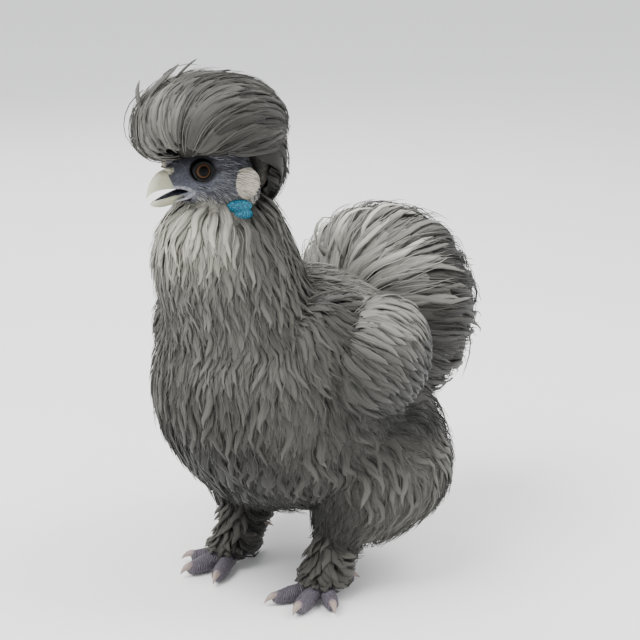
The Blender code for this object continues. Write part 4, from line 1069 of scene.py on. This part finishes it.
crest_roots = scatter(crest_line, 0.0040, 31)
crest_roots = crest_roots[above_face(crest_roots, 0.0020)]
coat("coat_crest", crest_tree, crest_roots, crest_lie, CREST_MIDDLE, 0.046, 0.0052, 0.0009, 32, taper=LONG,
     lift=LONG_LAID * 0.8, rim=0.84, roll=0.08, wave=(0.0010, 0.045), colour=crest_colour_and_light)
slim = scatter(crest_line, 0.0064, 33)
slim = slim[above_face(slim, 0.0050)]
crest_locks = coat("locks_crest", crest_tree, slim, crest_lie, CREST_MIDDLE, 0.044, 0.0028, 0.0009, 34, taper=LONG,
     lift=LONG_PROUD * 0.6, shade=DEEP_SHADE, rim=0.68, roll=0.20, wave=(0.0010, 0.045), colour=crest_colour_and_light)
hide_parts("crest")
fine = scatter(crest_line, 0.0030, 35)
fine = fine[above_face(fine, 0.0030)]
coat("strands_crest", crest_tree, fine, crest_lie, CREST_MIDDLE, 0.032, 0.00028, 0.00024, 36, section=STRAND,
     taper=LONG_FINE, lift=LONG_FINE_LIFT * 0.55, shade=(0.8, 1.0, 1.1, 1.2), rim=1.0, spread=0.25, fluff=0.0008,
     wave=(0.0009, 0.045), tone=1.1, colour=crest_colour_and_light)

# Tips that stand out of the crest, and thin hairs loose round it, along the head's axes, in millimetres
CREST_TIPS = (
    ((28, 4, 38), (20, 3, 46), (13, 2, 51.5), (8.7, 1, 55)),
    ((14, 0, 43), (8, 0, 49.5), (3, 0, 54), (-1.5, 0, 57)),
    ((-2, 0, 43), (-9, -1, 47.5), (-15, -2, 49.2), (-20, -2, 50)),
    ((29, 0, 28), (30.5, 0, 36), (31, 0, 42), (29.5, 0, 47.5)),
    ((22, 12, 30), (19, 14, 38), (14, 15, 43.5), (9, 15, 47.5)),
    ((-34, 9, 10), (-42, 9, 3), (-46.5, 7, -2.5), (-49, 6, -6)),
    ((-33, 12, 2), (-37, 11, -6), (-40.5, 9, -11.5), (-42, 8, -15.5)),
    ((-30, -8, 12), (-40, -8, 6), (-45, -7, 0), (-47, -6, -7)),
)
CREST_HAIRS = (
    ((27.8, 0, 42), (34.7, 0, 36), (38.5, 0, 27), (37.4, 0, 17.3), (30.6, 0, 9)),
    ((26, 4, 41), (33.5, 4, 34), (36.8, 4, 26), (36, 4, 16), (29, 4, 8)),
    ((-24, 0, 44), (-38, 0, 39.9), (-45, 0, 29), (-49.5, 0, 16), (-48.5, 0, 2)),
    ((-20, 6, 43), (-34, 7, 38), (-42, 7, 28), (-46.5, 6, 15), (-46, 5, 1)),
    ((-22, -6, 44), (-33, -7, 41.5), (-41, -8, 33), (-45, -8, 22), (-46, -7, 10)),
    ((12, 2, 44), (18, 2, 49), (12, 2, 53), (4, 2, 54.5), (-3, 2, 53)),
)
TIP_TAPER = np.array([0.5, 0.85, 1.0, 0.95, 0.75, 0.42, 0.0])
HAIR_TAPER = np.array([0.6, 1.0, 1.0, 0.9, 0.8, 0.6, 0.4, 0.0])


def free_locks(name, curves, centre, middle, width, thickness, taper, section, colour, seed, slot="grey_plumage"):
    """Locks along curves given by their points, with their crowns turned away from a centre."""
    dice = np.random.default_rng(seed)
    trail = np.array([between(curve, len(taper)) for curve in curves])
    ups = unit(trail - np.array(centre))
    count = len(curves)
    mesh, loops, each = lock_mesh(
        name, trail, ups, width * dice.uniform(0.8, 1.2, count), np.full(count, thickness), taper, section,
        colour(trail[:, 0]) * dice.uniform(0.9, 1.2, count)[:, None], SOFT_SHADE, 0.85, dice.normal(0, 0.2, count),
    )
    patch = 0.003
    corner = np.stack([np.arange(each) % len(section) / len(section), np.arange(each) / each], 1) * patch
    bake = (unwrapped(trail[:, 0], middle)[:, None] * (1 - patch) + corner[None]).reshape(-1, 2)
    mesh.uv_layers.new(name="OFBake").data.foreach_set("uv", bake[loops].ravel())
    made = bpy.data.objects.new(name, mesh)
    bpy.context.scene.collection.objects.link(made)
    return settle(made, down, slot)


for name, curves, width, thickness, taper, section in (
    ("tips_crest", CREST_TIPS, 0.0030, 0.0010, TIP_TAPER, BROAD),
    ("hairs_crest", CREST_HAIRS, 0.0004, 0.0003, HAIR_TAPER, STRAND),
):
    placed = [[on_head(*(number / 1000 for number in point)) for point in curve] for curve in curves]
    free_locks(name, placed, on_head(-0.006, 0.0, 0.018), CREST_MIDDLE, width, thickness, taper, section,
               lambda places: crest_colour_and_light(places) * 0.55, 37)

# Thin vanes that stand free of the tail, from its middle, in millimetres
TAIL_VANES = (
    ((-15, -24, 26), (-15, -40, 43), (-15, -45, 54), (-15, -38, 61.5), (-15, -24, 58)),
    ((-10, -28, 30), (-10, -44, 44), (-10, -48, 50), (-10, -44, 57), (-10, -36, 61)),
    ((0, -37, 38), (0, -44, 54), (0, -33, 65), (0, -13, 65), (0, 5, 57)),
    ((8, -30, 45), (8, -28, 58), (8, -12, 67), (8, 8, 64), (8, 24, 54)),
    ((15, -19, 58), (15, -1, 63), (15, 19, 56), (15, 34, 42), (15, 39, 28)),
    ((10, 0, 52), (10, 20, 55), (10, 38, 45), (10, 50, 28), (10, 52, 12)),
    ((-8, 0, 55), (-8, 18, 58), (-8, 38, 48), (-8, 52, 32), (-8, 55, 14)),
    ((25, 18, 24), (25, 38, 6), (25, 47, -14), (25, 46, -32), (25, 36, -48)),
    ((32, 10, 18), (33, 30, 4), (33, 40, -12), (32, 40, -30), (30, 34, -46)),
    ((38, 0, 12), (42, 18, 2), (43, 30, -12), (41, 34, -28), (38, 30, -44)),
    ((0, 30, 30), (0, 48, 12), (0, 55, -10), (0, 52, -32), (0, 42, -52)),
    ((20, 28, 20), (20, 46, 4), (20, 52, -16), (20, 48, -36), (20, 40, -54)),
)
VANE_TAPER = np.array([0.5, 0.8, 1.0, 1.0, 0.95, 0.85, 0.65, 0.40, 0.0])
placed = [[Vector((x / 1000, TAIL_CENTRE.y + y / 1000, TAIL_CENTRE.z + (z - 3) / 1000)) for x, y, z in curve]
          for curve in TAIL_VANES]
free_locks("vanes_tail", placed, TAIL_CENTRE, tuple(TAIL_CENTRE), 0.0016, 0.0006, VANE_TAPER, BROAD,
           lambda places: tail_colour_and_shade(places) * 1.5, 47)

# ---------------------------------------------------------------- Face feathers and ear tufts
# Short bristly feathers lie back over the cheeks, with a pale tuft over each ear and a bare
# turquoise lobe below it.

def cheek_lie(places):
    """Back from the bill and eye, and down over the jaw."""
    local = head_places(places)
    drop = 0.20 + 0.75 * ramp(-local[:, 2], 0.006, 0.018)
    way = np.stack([-np.ones(len(places)), np.zeros(len(places)), -drop], 1)
    return way @ np.array(HEAD_AXES).T


def cheek_colour(places):
    """Slate bristles, some pale and some dark, paler towards the throat."""
    forward, left, up = head_places(places).T
    dice = np.random.default_rng(61)
    colour = mixed(np.broadcast_to(FACE_SLATE, places.shape), FACE_PALE, dice.random(len(places)) * 0.9)
    colour = mixed(colour, PALE_THROAT, ramp(-up, 0.011, 0.019) * dice.random(len(places)) * 0.9)
    return mixed(colour, LID_DARK, (dice.random(len(places)) > 0.72) * 0.55)


bm = bmesh.new()
tube(bm, [
    (on_head(forward, 0.0, middle + (rise - drop) / 2), LEFT * half, UP * ((rise + drop) / 2), 40)
    for forward, middle, half, rise, drop in between(SKULL_STATIONS, 26)
])
for side in (-1, 1):
    egg(bm, on_head(-0.0130, side * 0.0098, -0.0135), (0.0090, 0.0046, 0.0066), HEAD_AXES)
face_line = merged(object_of("face line", bm), 0.0009, 4)
face_tree = tree_of(face_line)
bristles = scatter(face_line, 0.00085, 62)
local = head_places(bristles)
forward, left, up = local.T
keep = (from_eye(local) > 0.0078) & (forward < 0.0035) & (forward > -0.031) & (up < 0.009) & (np.abs(left) > 0.004)
keep &= (near_pad(local, EAR_CENTRE, EAR_RADII) > 0.85) & (near_pad(local, LOBE_CENTRE, LOBE_RADII) > 0.9)
SHORT = np.array([0.6, 1.0, 0.9, 0.6, 0.0])
SHORT_LIFT = np.array([-0.0004, 0.0001, 0.0003, 0.0004, 0.0005])
coat("bristles_face", face_tree, bristles[keep], cheek_lie, tuple(HEAD_CENTRE), 0.0050, 0.00036, 0.00020, 63,
     section=SLIM, taper=SHORT, lift=SHORT_LIFT, shade=(0.5, 0.8, 1.0, 1.15), rim=0.8, roll=0.3, fluff=0.0002,
     spread=0.15, wave=(0.0003, 0.007), tone=1.6, colour=cheek_colour, slot="face_skin")

CREAM = np.array(linear("#C9C2B4"))
CREAM_SHADE = np.array(linear("#8F8A7C"))


def ear_colour(places):
    """Cream, and a little darker towards the lower edge of the tuft."""
    up = head_places(places)[:, 2]
    return mixed(np.broadcast_to(CREAM, places.shape), CREAM_SHADE, ramp(up, -0.009, -0.016) * 0.8)


for side, word in ((1, "left"), (-1, "right")):
    forward, left, up = EAR_CENTRE
    bm = bmesh.new()
    egg(bm, on_head(forward, side * left, up), EAR_RADII, HEAD_AXES)
    ear_line = object_of(f"ear_pad_{word}", bm)
    ear_tree = tree_of(ear_line)
    tufts = scatter(ear_line, 0.0008, 64)
    tufts = tufts[side * head_places(tufts)[:, 1] > left - 0.001]
    coat(f"tufts_ear_{word}", ear_tree, tufts, cheek_lie, tuple(on_head(forward, side * left, up)), 0.0050, 0.00045,
         0.0003, 65, section=SLIM, taper=SHORT, lift=SHORT_LIFT, shade=(0.9, 0.97, 1.0, 1.03), rim=0.97, roll=0.3,
         fluff=0.0003, spread=0.08, wave=(0.0003, 0.008), colour=ear_colour, slot="pale_plumage")
    set_tint(ear_line.data, ear_colour(points_of(ear_line)) * 0.95)
    settle(ear_line, skin_finish, "pale_plumage", f"ear_{word}")

# Earlobe: bare skin, turquoise, in small raised pebbles
LOBE_DEEP = linear("#0A4A63")
LOBE_BRIGHT = linear("#2FB9D4")
lobe_finish, lobe_tree, lobe_shader = finish_named("turquoise lobe skin", {"Roughness": 0.45, "Specular IOR Level": 0.4})
lobe_place = node(lobe_tree, "ShaderNodeTexCoord")
# Pebbles about 0.9 mm across
lobe_pebble = node(
    lobe_tree, "ShaderNodeTexVoronoi", {"Vector": lobe_place.outputs["Object"], "Scale": 1100.0}, feature="F1"
)
lobe_patch = node(lobe_tree, "ShaderNodeTexNoise", {"Vector": lobe_place.outputs["Object"], "Scale": 500.0, "Detail": 3.0})
lobe_range = node(
    lobe_tree, "ShaderNodeMapRange",
    {"Value": lobe_pebble.outputs["Distance"], "From Min": 0.1, "From Max": 0.6, "To Min": 1.0, "To Max": 0.0},
)
lobe_share = node(
    lobe_tree, "ShaderNodeMath", {0: lobe_range.outputs["Result"], 1: lobe_patch.outputs["Fac"]}, operation="MULTIPLY"
)
lobe_mix = node(
    lobe_tree, "ShaderNodeMix",
    {"Factor": lobe_share.outputs["Value"], 6: (*LOBE_DEEP, 1.0), 7: (*LOBE_BRIGHT, 1.0)}, data_type="RGBA",
)
lobe_tree.links.new(lobe_mix.outputs[2], lobe_shader.inputs["Base Color"])
lobe_bump = node(lobe_tree, "ShaderNodeBump", {"Strength": 0.8, "Distance": 0.0005, "Height": lobe_range.outputs["Result"]})
lobe_tree.links.new(lobe_bump.outputs["Normal"], lobe_shader.inputs["Normal"])
for side, word in ((1, "left"), (-1, "right")):
    forward, left, up = LOBE_CENTRE
    bm = bmesh.new()
    # The head turns, so the neck's coat stands further out under the right lobe
    left += 0.0080 if side < 0 else 0.0
    for higher, reach in ((0.0022, 0.95), (-0.0022, 0.85)):
        egg(bm, on_head(forward + higher * 0.25, side * left, up + higher),
            (LOBE_RADII[0] * reach, LOBE_RADII[1], LOBE_RADII[2] * 0.62), HEAD_AXES)
    lobe = merged(object_of(f"lobe_{word}", bm), 0.0004, 2)
    settle(lobe, lobe_finish, "earlobe", f"earlobe_{word}")

# ---------------------------------------------------------------- Eyes
# Each eye is a wet ball with a wide black pupil, a brown ring round it and a clear bulging front.

PUPIL = 0.0027
IRIS = 0.0043
PUPIL_BLACK = np.array(linear("#050506"))
IRIS_BROWN = np.array(linear("#4A3526"))
IRIS_DARK = np.array(linear("#2A1C14"))
EYE_DARK = np.array(linear("#0E0C0C"))
eye_finish, eye_tree, eye_shader = finish_named(
    "wet eye", {"Roughness": 0.30, "Coat Weight": 0.05, "Coat Roughness": 0.03, "Specular IOR Level": 0.05}
)
eye_tint = node(eye_tree, "ShaderNodeAttribute", attribute_name="tint")
eye_place = node(eye_tree, "ShaderNodeTexCoord")
# Flecks of the iris, about 0.4 mm
eye_fleck = node(eye_tree, "ShaderNodeTexNoise", {"Vector": eye_place.outputs["Object"], "Scale": 2500.0, "Detail": 2.0})
eye_range = node(eye_tree, "ShaderNodeMapRange", {"Value": eye_fleck.outputs["Fac"], "To Min": 0.7, "To Max": 1.3})
eye_colour = node(
    eye_tree, "ShaderNodeVectorMath", {0: eye_tint.outputs["Color"], 1: eye_range.outputs["Result"]},
    operation="MULTIPLY",
)
eye_tree.links.new(eye_colour.outputs["Vector"], eye_shader.inputs["Base Color"])
for side, word in ((1, "left"), (-1, "right")):
    centre = on_head(0.0, side * EYE_OUT, 0.0)
    gaze = Matrix((FORWARD, UP, LEFT * side)).transposed().to_4x4()
    bm = bmesh.new()
    bmesh.ops.create_uvsphere(
        bm, u_segments=56, v_segments=64, radius=EYE_RADIUS, matrix=Matrix.Translation(centre) @ gaze
    )
    for vert in bm.verts:
        off = (vert.co - centre) - (LEFT * side) * (vert.co - centre).dot(LEFT * side)
        if (vert.co - centre).dot(LEFT * side) > 0:
            vert.co += LEFT * side * 0.0004 * max(0.0, 1 - (off.length / IRIS) ** 2)
    eye = object_of(f"eye_ball_{word}", bm)
    away = points_of(eye) - np.array(centre)
    ahead = away @ np.array(LEFT * side)
    off = np.linalg.norm(away - ahead[:, None] * np.array(LEFT * side), axis=1)
    colour = mixed(np.broadcast_to(PUPIL_BLACK, away.shape), IRIS_DARK, ramp(off, PUPIL - 0.0002, PUPIL + 0.0001))
    colour = mixed(colour, IRIS_BROWN, ramp(off, PUPIL, PUPIL + 0.0004) * ramp(off, IRIS - 0.0002, IRIS - 0.0009))
    colour = mixed(colour, EYE_DARK, ramp(off, IRIS - 0.0002, IRIS + 0.0002))
    colour[ahead < 0] = EYE_DARK
    set_tint(eye.data, colour)
    settle(eye, eye_finish, "eye", f"eye_{word}")

# ---------------------------------------------------------------- Bill, tongue and comb
# The bill is pale horn over bone, hooked a little at its tip and slate towards its base. Between
# its open halves lies a dark pointed tongue, and above it sits a small knobbed comb.

# Upper and lower half: forward, half width, height of the ridge, height of the cutting edge
UPPER_BILL = (
    (0.0120, 0.0060, -0.0016, -0.0093),
    (0.0145, 0.0058, -0.0004, -0.0093),
    (0.0175, 0.0053, 0.0000, -0.0093),
    (0.0212, 0.0044, -0.0014, -0.0098),
    (0.0239, 0.0034, -0.0039, -0.0108),
    (0.0260, 0.0023, -0.0074, -0.0122),
    (0.0272, 0.0013, -0.0108, -0.0137),
    (0.0277, 0.0006, -0.0132, -0.0146),
    (0.0279, 0.0002, -0.0146, -0.0150),
)
LOWER_BILL = (
    (0.0095, 0.0059, -0.0128, -0.0182),
    (0.0152, 0.0052, -0.0143, -0.0193),
    (0.0198, 0.0040, -0.0157, -0.0201),
    (0.0235, 0.0025, -0.0169, -0.0199),
    (0.0252, 0.0013, -0.0178, -0.0192),
    (0.0259, 0.0004, -0.0183, -0.0187),
)
HORN = np.array(linear("#96957F"))
HORN_TIP = np.array(linear("#B5B4A0"))
horn_finish, horn_tree, horn_shader = finish_named(
    "bill horn", {"Roughness": 0.42, "Specular IOR Level": 0.45, "Subsurface Weight": 0.08, "Subsurface Scale": 0.002}
)
horn_tint = node(horn_tree, "ShaderNodeAttribute", attribute_name="tint")
horn_place = node(horn_tree, "ShaderNodeTexCoord")
# Growth marks run along the horn, about 0.5 mm wide and 5 mm long
horn_turn = node(
    horn_tree, "ShaderNodeMapping",
    {"Vector": horn_place.outputs["Object"], "Rotation": (0.0, 0.0, math.pi / 2 - HEAD_TURN), "Scale": (0.25, 2.0, 2.0)},
)
horn_mark = node(horn_tree, "ShaderNodeTexNoise", {"Vector": horn_turn.outputs["Vector"], "Scale": 900.0, "Detail": 3.0})
horn_range = node(
    horn_tree, "ShaderNodeMapRange",
    {"Value": horn_mark.outputs["Fac"], "From Min": 0.3, "From Max": 0.7, "To Min": 0.82, "To Max": 1.12},
)
horn_colour = node(
    horn_tree, "ShaderNodeVectorMath", {0: horn_tint.outputs["Color"], 1: horn_range.outputs["Result"]},
    operation="MULTIPLY",
)
horn_tree.links.new(horn_colour.outputs["Vector"], horn_shader.inputs["Base Color"])
horn_bump = node(horn_tree, "ShaderNodeBump", {"Strength": 0.35, "Distance": 0.0003, "Height": horn_mark.outputs["Fac"]})
horn_tree.links.new(horn_bump.outputs["Normal"], horn_shader.inputs["Normal"])


def bill_half(name, stations, flat_side):
    """Half a bill: an oval tube whose cutting side is pressed nearly flat."""
    rings = []
    for forward, half, ridge, edge in between(stations, 34):
        tall = abs(ridge - edge)
        rings.append((on_head(forward, 0.0, edge), LEFT * max(half, 0.0001), UP * max(tall, 0.0001), 32))
    bm = bmesh.new()
    tube(bm, rings)
    table = np.array(stations)
    for vert in bm.verts:
        forward, left, up = (vert.co - HEAD_CENTRE) @ HEAD_AXES
        edge = np.interp(forward, table[:, 0], table[:, 3])
        past = (up - edge) * flat_side
        if past > 0:
            vert.co -= UP * flat_side * past * 0.9
    return object_of(name, bm)


def lower_rows(stations):
    return [(forward, half, low, top) for forward, half, top, low in stations]


upper_bill = bill_half("bill_upper", UPPER_BILL, -1)
lower_bill = bill_half("bill_lower", lower_rows(LOWER_BILL), 1)
for piece, node_name in ((upper_bill, "beak_upper"), (lower_bill, "beak_lower")):
    forward, left, up = head_places(points_of(piece)).T
    colour = mixed(np.broadcast_to(HORN, (len(forward), 3)), HORN_TIP, ramp(forward, 0.020, 0.027))
    slate = ramp(forward, 0.0168, 0.0140) if node_name == "beak_upper" else ramp(forward, 0.0150, 0.0110) * 0.7
    slate = slate * (1 - 0.7 * ramp(up, -0.0060, -0.0085)) if node_name == "beak_upper" else slate
    set_tint(piece.data, mixed(colour, FACE_SLATE * 1.2, slate))
    settle(piece, horn_finish, "horn", node_name)

bm = bmesh.new()
tube(bm, [
    (on_head(forward, 0.0, middle), LEFT * half, UP * tall, 20)
    for forward, half, middle, tall in between(
        (
            (0.0060, 0.0040, -0.0128, 0.0026), (0.0110, 0.0045, -0.0136, 0.0026), (0.0160, 0.0037, -0.0146, 0.0019),
            (0.0200, 0.0024, -0.0156, 0.0012), (0.0232, 0.0005, -0.0165, 0.0004),
        ), 16,
    )
])
tongue = object_of("tongue_tip", bm)
TONGUE_SLATE = np.array(linear("#1D1F2C"))
set_tint(tongue.data, np.broadcast_to(TONGUE_SLATE, (len(tongue.data.vertices), 3)))
settle(tongue, skin_finish, "mouth", "tongue")

COMB_KNOBS = (
    (0.0170, 0.0000, 0.0038, 0.0026),
    (0.0158, 0.0022, 0.0052, 0.0022),
    (0.0158, -0.0022, 0.0052, 0.0022),
    (0.0166, 0.0006, 0.0068, 0.0021),
    (0.0140, 0.0014, 0.0082, 0.0024),
    (0.0140, -0.0016, 0.0080, 0.0024),
    (0.0154, 0.0000, 0.0098, 0.0017),
)
bm = bmesh.new()
for forward, left, up, radius in COMB_KNOBS:
    egg(bm, on_head(forward, left, up), [radius] * 3, None, 3)
comb = merged(object_of("comb_knobs", bm), 0.0004, 2)
comb_tint = np.broadcast_to(np.array(linear("#4B4A50")), (len(comb.data.vertices), 3))
comb_pale = np.array(linear("#8E877C"))
set_tint(comb.data, mixed(comb_tint, comb_pale, ramp(head_places(points_of(comb))[:, 0], 0.0165, 0.0190)))
settle(comb, skin_finish, "face_skin", "comb")

# ---------------------------------------------------------------- Feet
# Thick short toes in wrinkled mulberry-grey skin, each with a fleshy rounded end and a pale horn
# claw on top of it. Tufts from the shank fall over their roots.

LEG_X = 0.035
LEG_Y = -0.037
FOOT_TURN = math.radians(13.0)
# Each toe: its turn from the foot's front, length, radius, height at its root and at its end
TOES = (
    (-37.0, 0.0330, 0.0045, 0.0105, 0.0044),
    (0.0, 0.0335, 0.0049, 0.0115, 0.0047),
    (39.0, 0.0265, 0.0045, 0.0105, 0.0044),
    (162.0, 0.0250, 0.0037, 0.0085, 0.0037),
    (-152.0, 0.0190, 0.0031, 0.0180, 0.0230),
)
TOE_STEPS = 44
foot_finish, foot_tree, foot_shader = finish_named("wrinkled toe skin", {"Roughness": 0.6, "Specular IOR Level": 0.35})
foot_tint = node(foot_tree, "ShaderNodeAttribute", attribute_name="tint")
foot_along = node(foot_tree, "ShaderNodeAttribute", attribute_name="along")
foot_place = node(foot_tree, "ShaderNodeTexCoord")
# Wrinkles cross a toe about every 1.1 mm
foot_bend = node(foot_tree, "ShaderNodeTexNoise", {"Vector": foot_place.outputs["Object"], "Scale": 300.0, "Detail": 2.0})
foot_sum = node(
    foot_tree, "ShaderNodeMath", {0: foot_bend.outputs["Fac"], 1: 2.2, 2: foot_along.outputs["Fac"]},
    operation="MULTIPLY_ADD",
)
foot_wave = node(foot_tree, "ShaderNodeMath", {0: foot_sum.outputs["Value"], 1: 5.7}, operation="MULTIPLY")
foot_sine = node(foot_tree, "ShaderNodeMath", {0: foot_wave.outputs["Value"]}, operation="SINE")
foot_scuff = node(
    foot_tree, "ShaderNodeTexNoise", {"Vector": foot_place.outputs["Object"], "Scale": 700.0, "Detail": 4.0, "Roughness": 0.7}
)
foot_dark = node(
    foot_tree, "ShaderNodeMapRange",
    {"Value": foot_sine.outputs["Value"], "From Min": -1.0, "From Max": 0.2, "To Min": 0.50, "To Max": 1.0},
)
foot_light = node(
    foot_tree, "ShaderNodeMapRange",
    {"Value": foot_scuff.outputs["Fac"], "From Min": 0.35, "From Max": 0.75, "To Min": 0.8, "To Max": 1.7},
)
foot_both = node(
    foot_tree, "ShaderNodeMath", {0: foot_dark.outputs["Result"], 1: foot_light.outputs["Result"]}, operation="MULTIPLY"
)
foot_colour = node(
    foot_tree, "ShaderNodeVectorMath", {0: foot_tint.outputs["Color"], 1: foot_both.outputs["Value"]},
    operation="MULTIPLY",
)
foot_tree.links.new(foot_colour.outputs["Vector"], foot_shader.inputs["Base Color"])
foot_height = node(
    foot_tree, "ShaderNodeMath", {0: foot_sine.outputs["Value"], 1: foot_scuff.outputs["Fac"]}, operation="ADD"
)
foot_bump = node(foot_tree, "ShaderNodeBump", {"Strength": 0.6, "Distance": 0.0005, "Height": foot_height.outputs["Value"]})
foot_tree.links.new(foot_bump.outputs["Normal"], foot_shader.inputs["Normal"])

MULBERRY = np.array(linear("#57515A"))
CLAW_PALE = np.array(linear("#8E7F76"))
CLAW_ROOT = np.array(linear("#7C7077"))
for side, word in ((1, "left"), (-1, "right")):
    toes, along, claws = [], [], []
    for index, (turn, length, radius, root_height, tip_height) in enumerate(TOES):
        angle = math.radians(turn) * side + FOOT_TURN * side
        way = Vector((math.sin(angle), -math.cos(angle), 0.0))
        start = Vector((side * LEG_X, LEG_Y, 0.0)) - way * 0.002
        bm = bmesh.new()
        rings, reach = [], []
        for i in range(TOE_STEPS):
            t = i / (TOE_STEPS - 1)
            far = length * 1.05 * t
            height = root_height + (tip_height - root_height) * math.sin(t * math.pi / 2) ** 0.8
            thick = radius * (1.12 - 0.20 * t)
            thick *= 1 + 0.05 * math.cos(t * 3 * 2 * math.pi) + 0.022 * math.sin(far * 1000 * 5.7)
            thick *= math.sqrt(max(1 - max((t - 0.80) / 0.2, 0) ** 2, 0.0)) * 0.98 + 0.02
            middle = start + way * far + UP * height
            rings.append((middle, way.cross(UP) * thick * 1.02, UP * thick, 22))
            reach.append(far * 1000)
        tube(bm, rings)
        for vert in bm.verts:
            if vert.co.z < 0.0006:
                vert.co.z = 0.0001 + max(vert.co.z + 0.003, 0.0) * 0.14
        toe = object_of("toe", bm)
        away = points_of(toe) - np.array(start)
        store = toe.data.attributes.new("along", "FLOAT", "POINT")
        store.data.foreach_set("value", away @ np.array(way) * 1000)
        set_tint(toe.data, np.broadcast_to(MULBERRY, away.shape))
        toes.append(toe)
        bm = bmesh.new()
        end = start + way * (length * 0.93) + UP * (tip_height + radius * 0.30)
        curve = [
            end + way * (0.0088 * t) + UP * (0.0012 * math.sin(t * math.pi * 0.8) - 0.0040 * t * t)
            for t in (0.0, 0.2, 0.4, 0.6, 0.8, 0.92, 1.0)
        ]
        if index == 4:
            curve = [p + UP * 0.002 * i / 6 for i, p in enumerate(curve)]
        pipe(bm, curve, [radius * s for s in (0.52, 0.50, 0.43, 0.33, 0.20, 0.10, 0.02)], 16)
        claw = object_of("claw", bm)
        far = (points_of(claw) - np.array(end)) @ np.array(way) / 0.0088
        set_tint(claw.data, mixed(np.broadcast_to(CLAW_ROOT, (len(far), 3)), CLAW_PALE, ramp(far, 0.05, 0.45)))
        claws.append(claw)
    bm = bmesh.new()
    egg(bm, Vector((side * LEG_X, LEG_Y + 0.001, 0.0105)), (0.0095, 0.0105, 0.0085), None, 3)
    heel = object_of("heel", bm)
    store = heel.data.attributes.new("along", "FLOAT", "POINT")
    store.data.foreach_set("value", points_of(heel)[:, 2] * 1000)
    set_tint(heel.data, np.broadcast_to(MULBERRY, (len(heel.data.vertices), 3)))
    settle(joined(f"toes_{word}", [*toes, heel]), foot_finish, "foot_skin", f"foot_{word}")
    settle(joined(f"claws_{word}", claws), horn_finish, "claw",
           *[f"claw_{word}_{name}" for name in ("inner", "middle", "outer", "hind", "fifth")])

# Tufts that fall from the shank over the roots of the toes
bm = bmesh.new()
for side in (-1, 1):
    tube(bm, [
        (Vector((side * x, y, z)), Vector((half, 0, 0)), Vector((0, depth, 0)), 24)
        for x, y, z, half, depth in between(
            (
                (0.0368, -0.0200, 0.0400, 0.0130, 0.0150),
                (0.0355, -0.0270, 0.0280, 0.0120, 0.0135),
                (0.0350, -0.0335, 0.0170, 0.0112, 0.0125),
                (0.0350, -0.0375, 0.0110, 0.0125, 0.0130),
            ), 12,
        )
    ])
cuff_line = object_of("cuff line", bm)


def cuff_lie(places):
    """Down the front of the shank, and back and down behind it."""
    x, y, z = places.T
    behind = ramp(y - np.interp(z, (0.011, 0.040), (-0.0375, -0.0200)), -0.012, 0.000)
    way = np.zeros_like(places)
    way[:, 2] = -0.8 + 0.40 * behind
    way[:, 1] = -0.10 + 1.15 * behind
    return way


cuff_tree = tree_of(cuff_line)
tufts = scatter(cuff_line, 0.0033, 71)
tufts = tufts[tufts[:, 2] > 0.0135]
CUFF_LIFT = np.array([-0.0020, 0.0004, 0.0016, 0.0030, 0.0046, 0.0060, 0.0070])
for side, word in ((1, "left"), (-1, "right")):
    coat(f"tufts_shank_{word}", cuff_tree, tufts[tufts[:, 0] * side > 0], cuff_lie, (side * 0.035, -0.028, 0.025),
         0.0200, 0.0027, 0.0008, 72, lift=CUFF_LIFT * 0.65, shade=DEEP_SHADE, rim=0.80, roll=0.20,
         wave=(0.0018, 0.018), tone=3.4)

for line in (body_line, crest_line, tail_line, face_line, cuff_line, *wing_lines.values()):
    bpy.data.objects.remove(line)
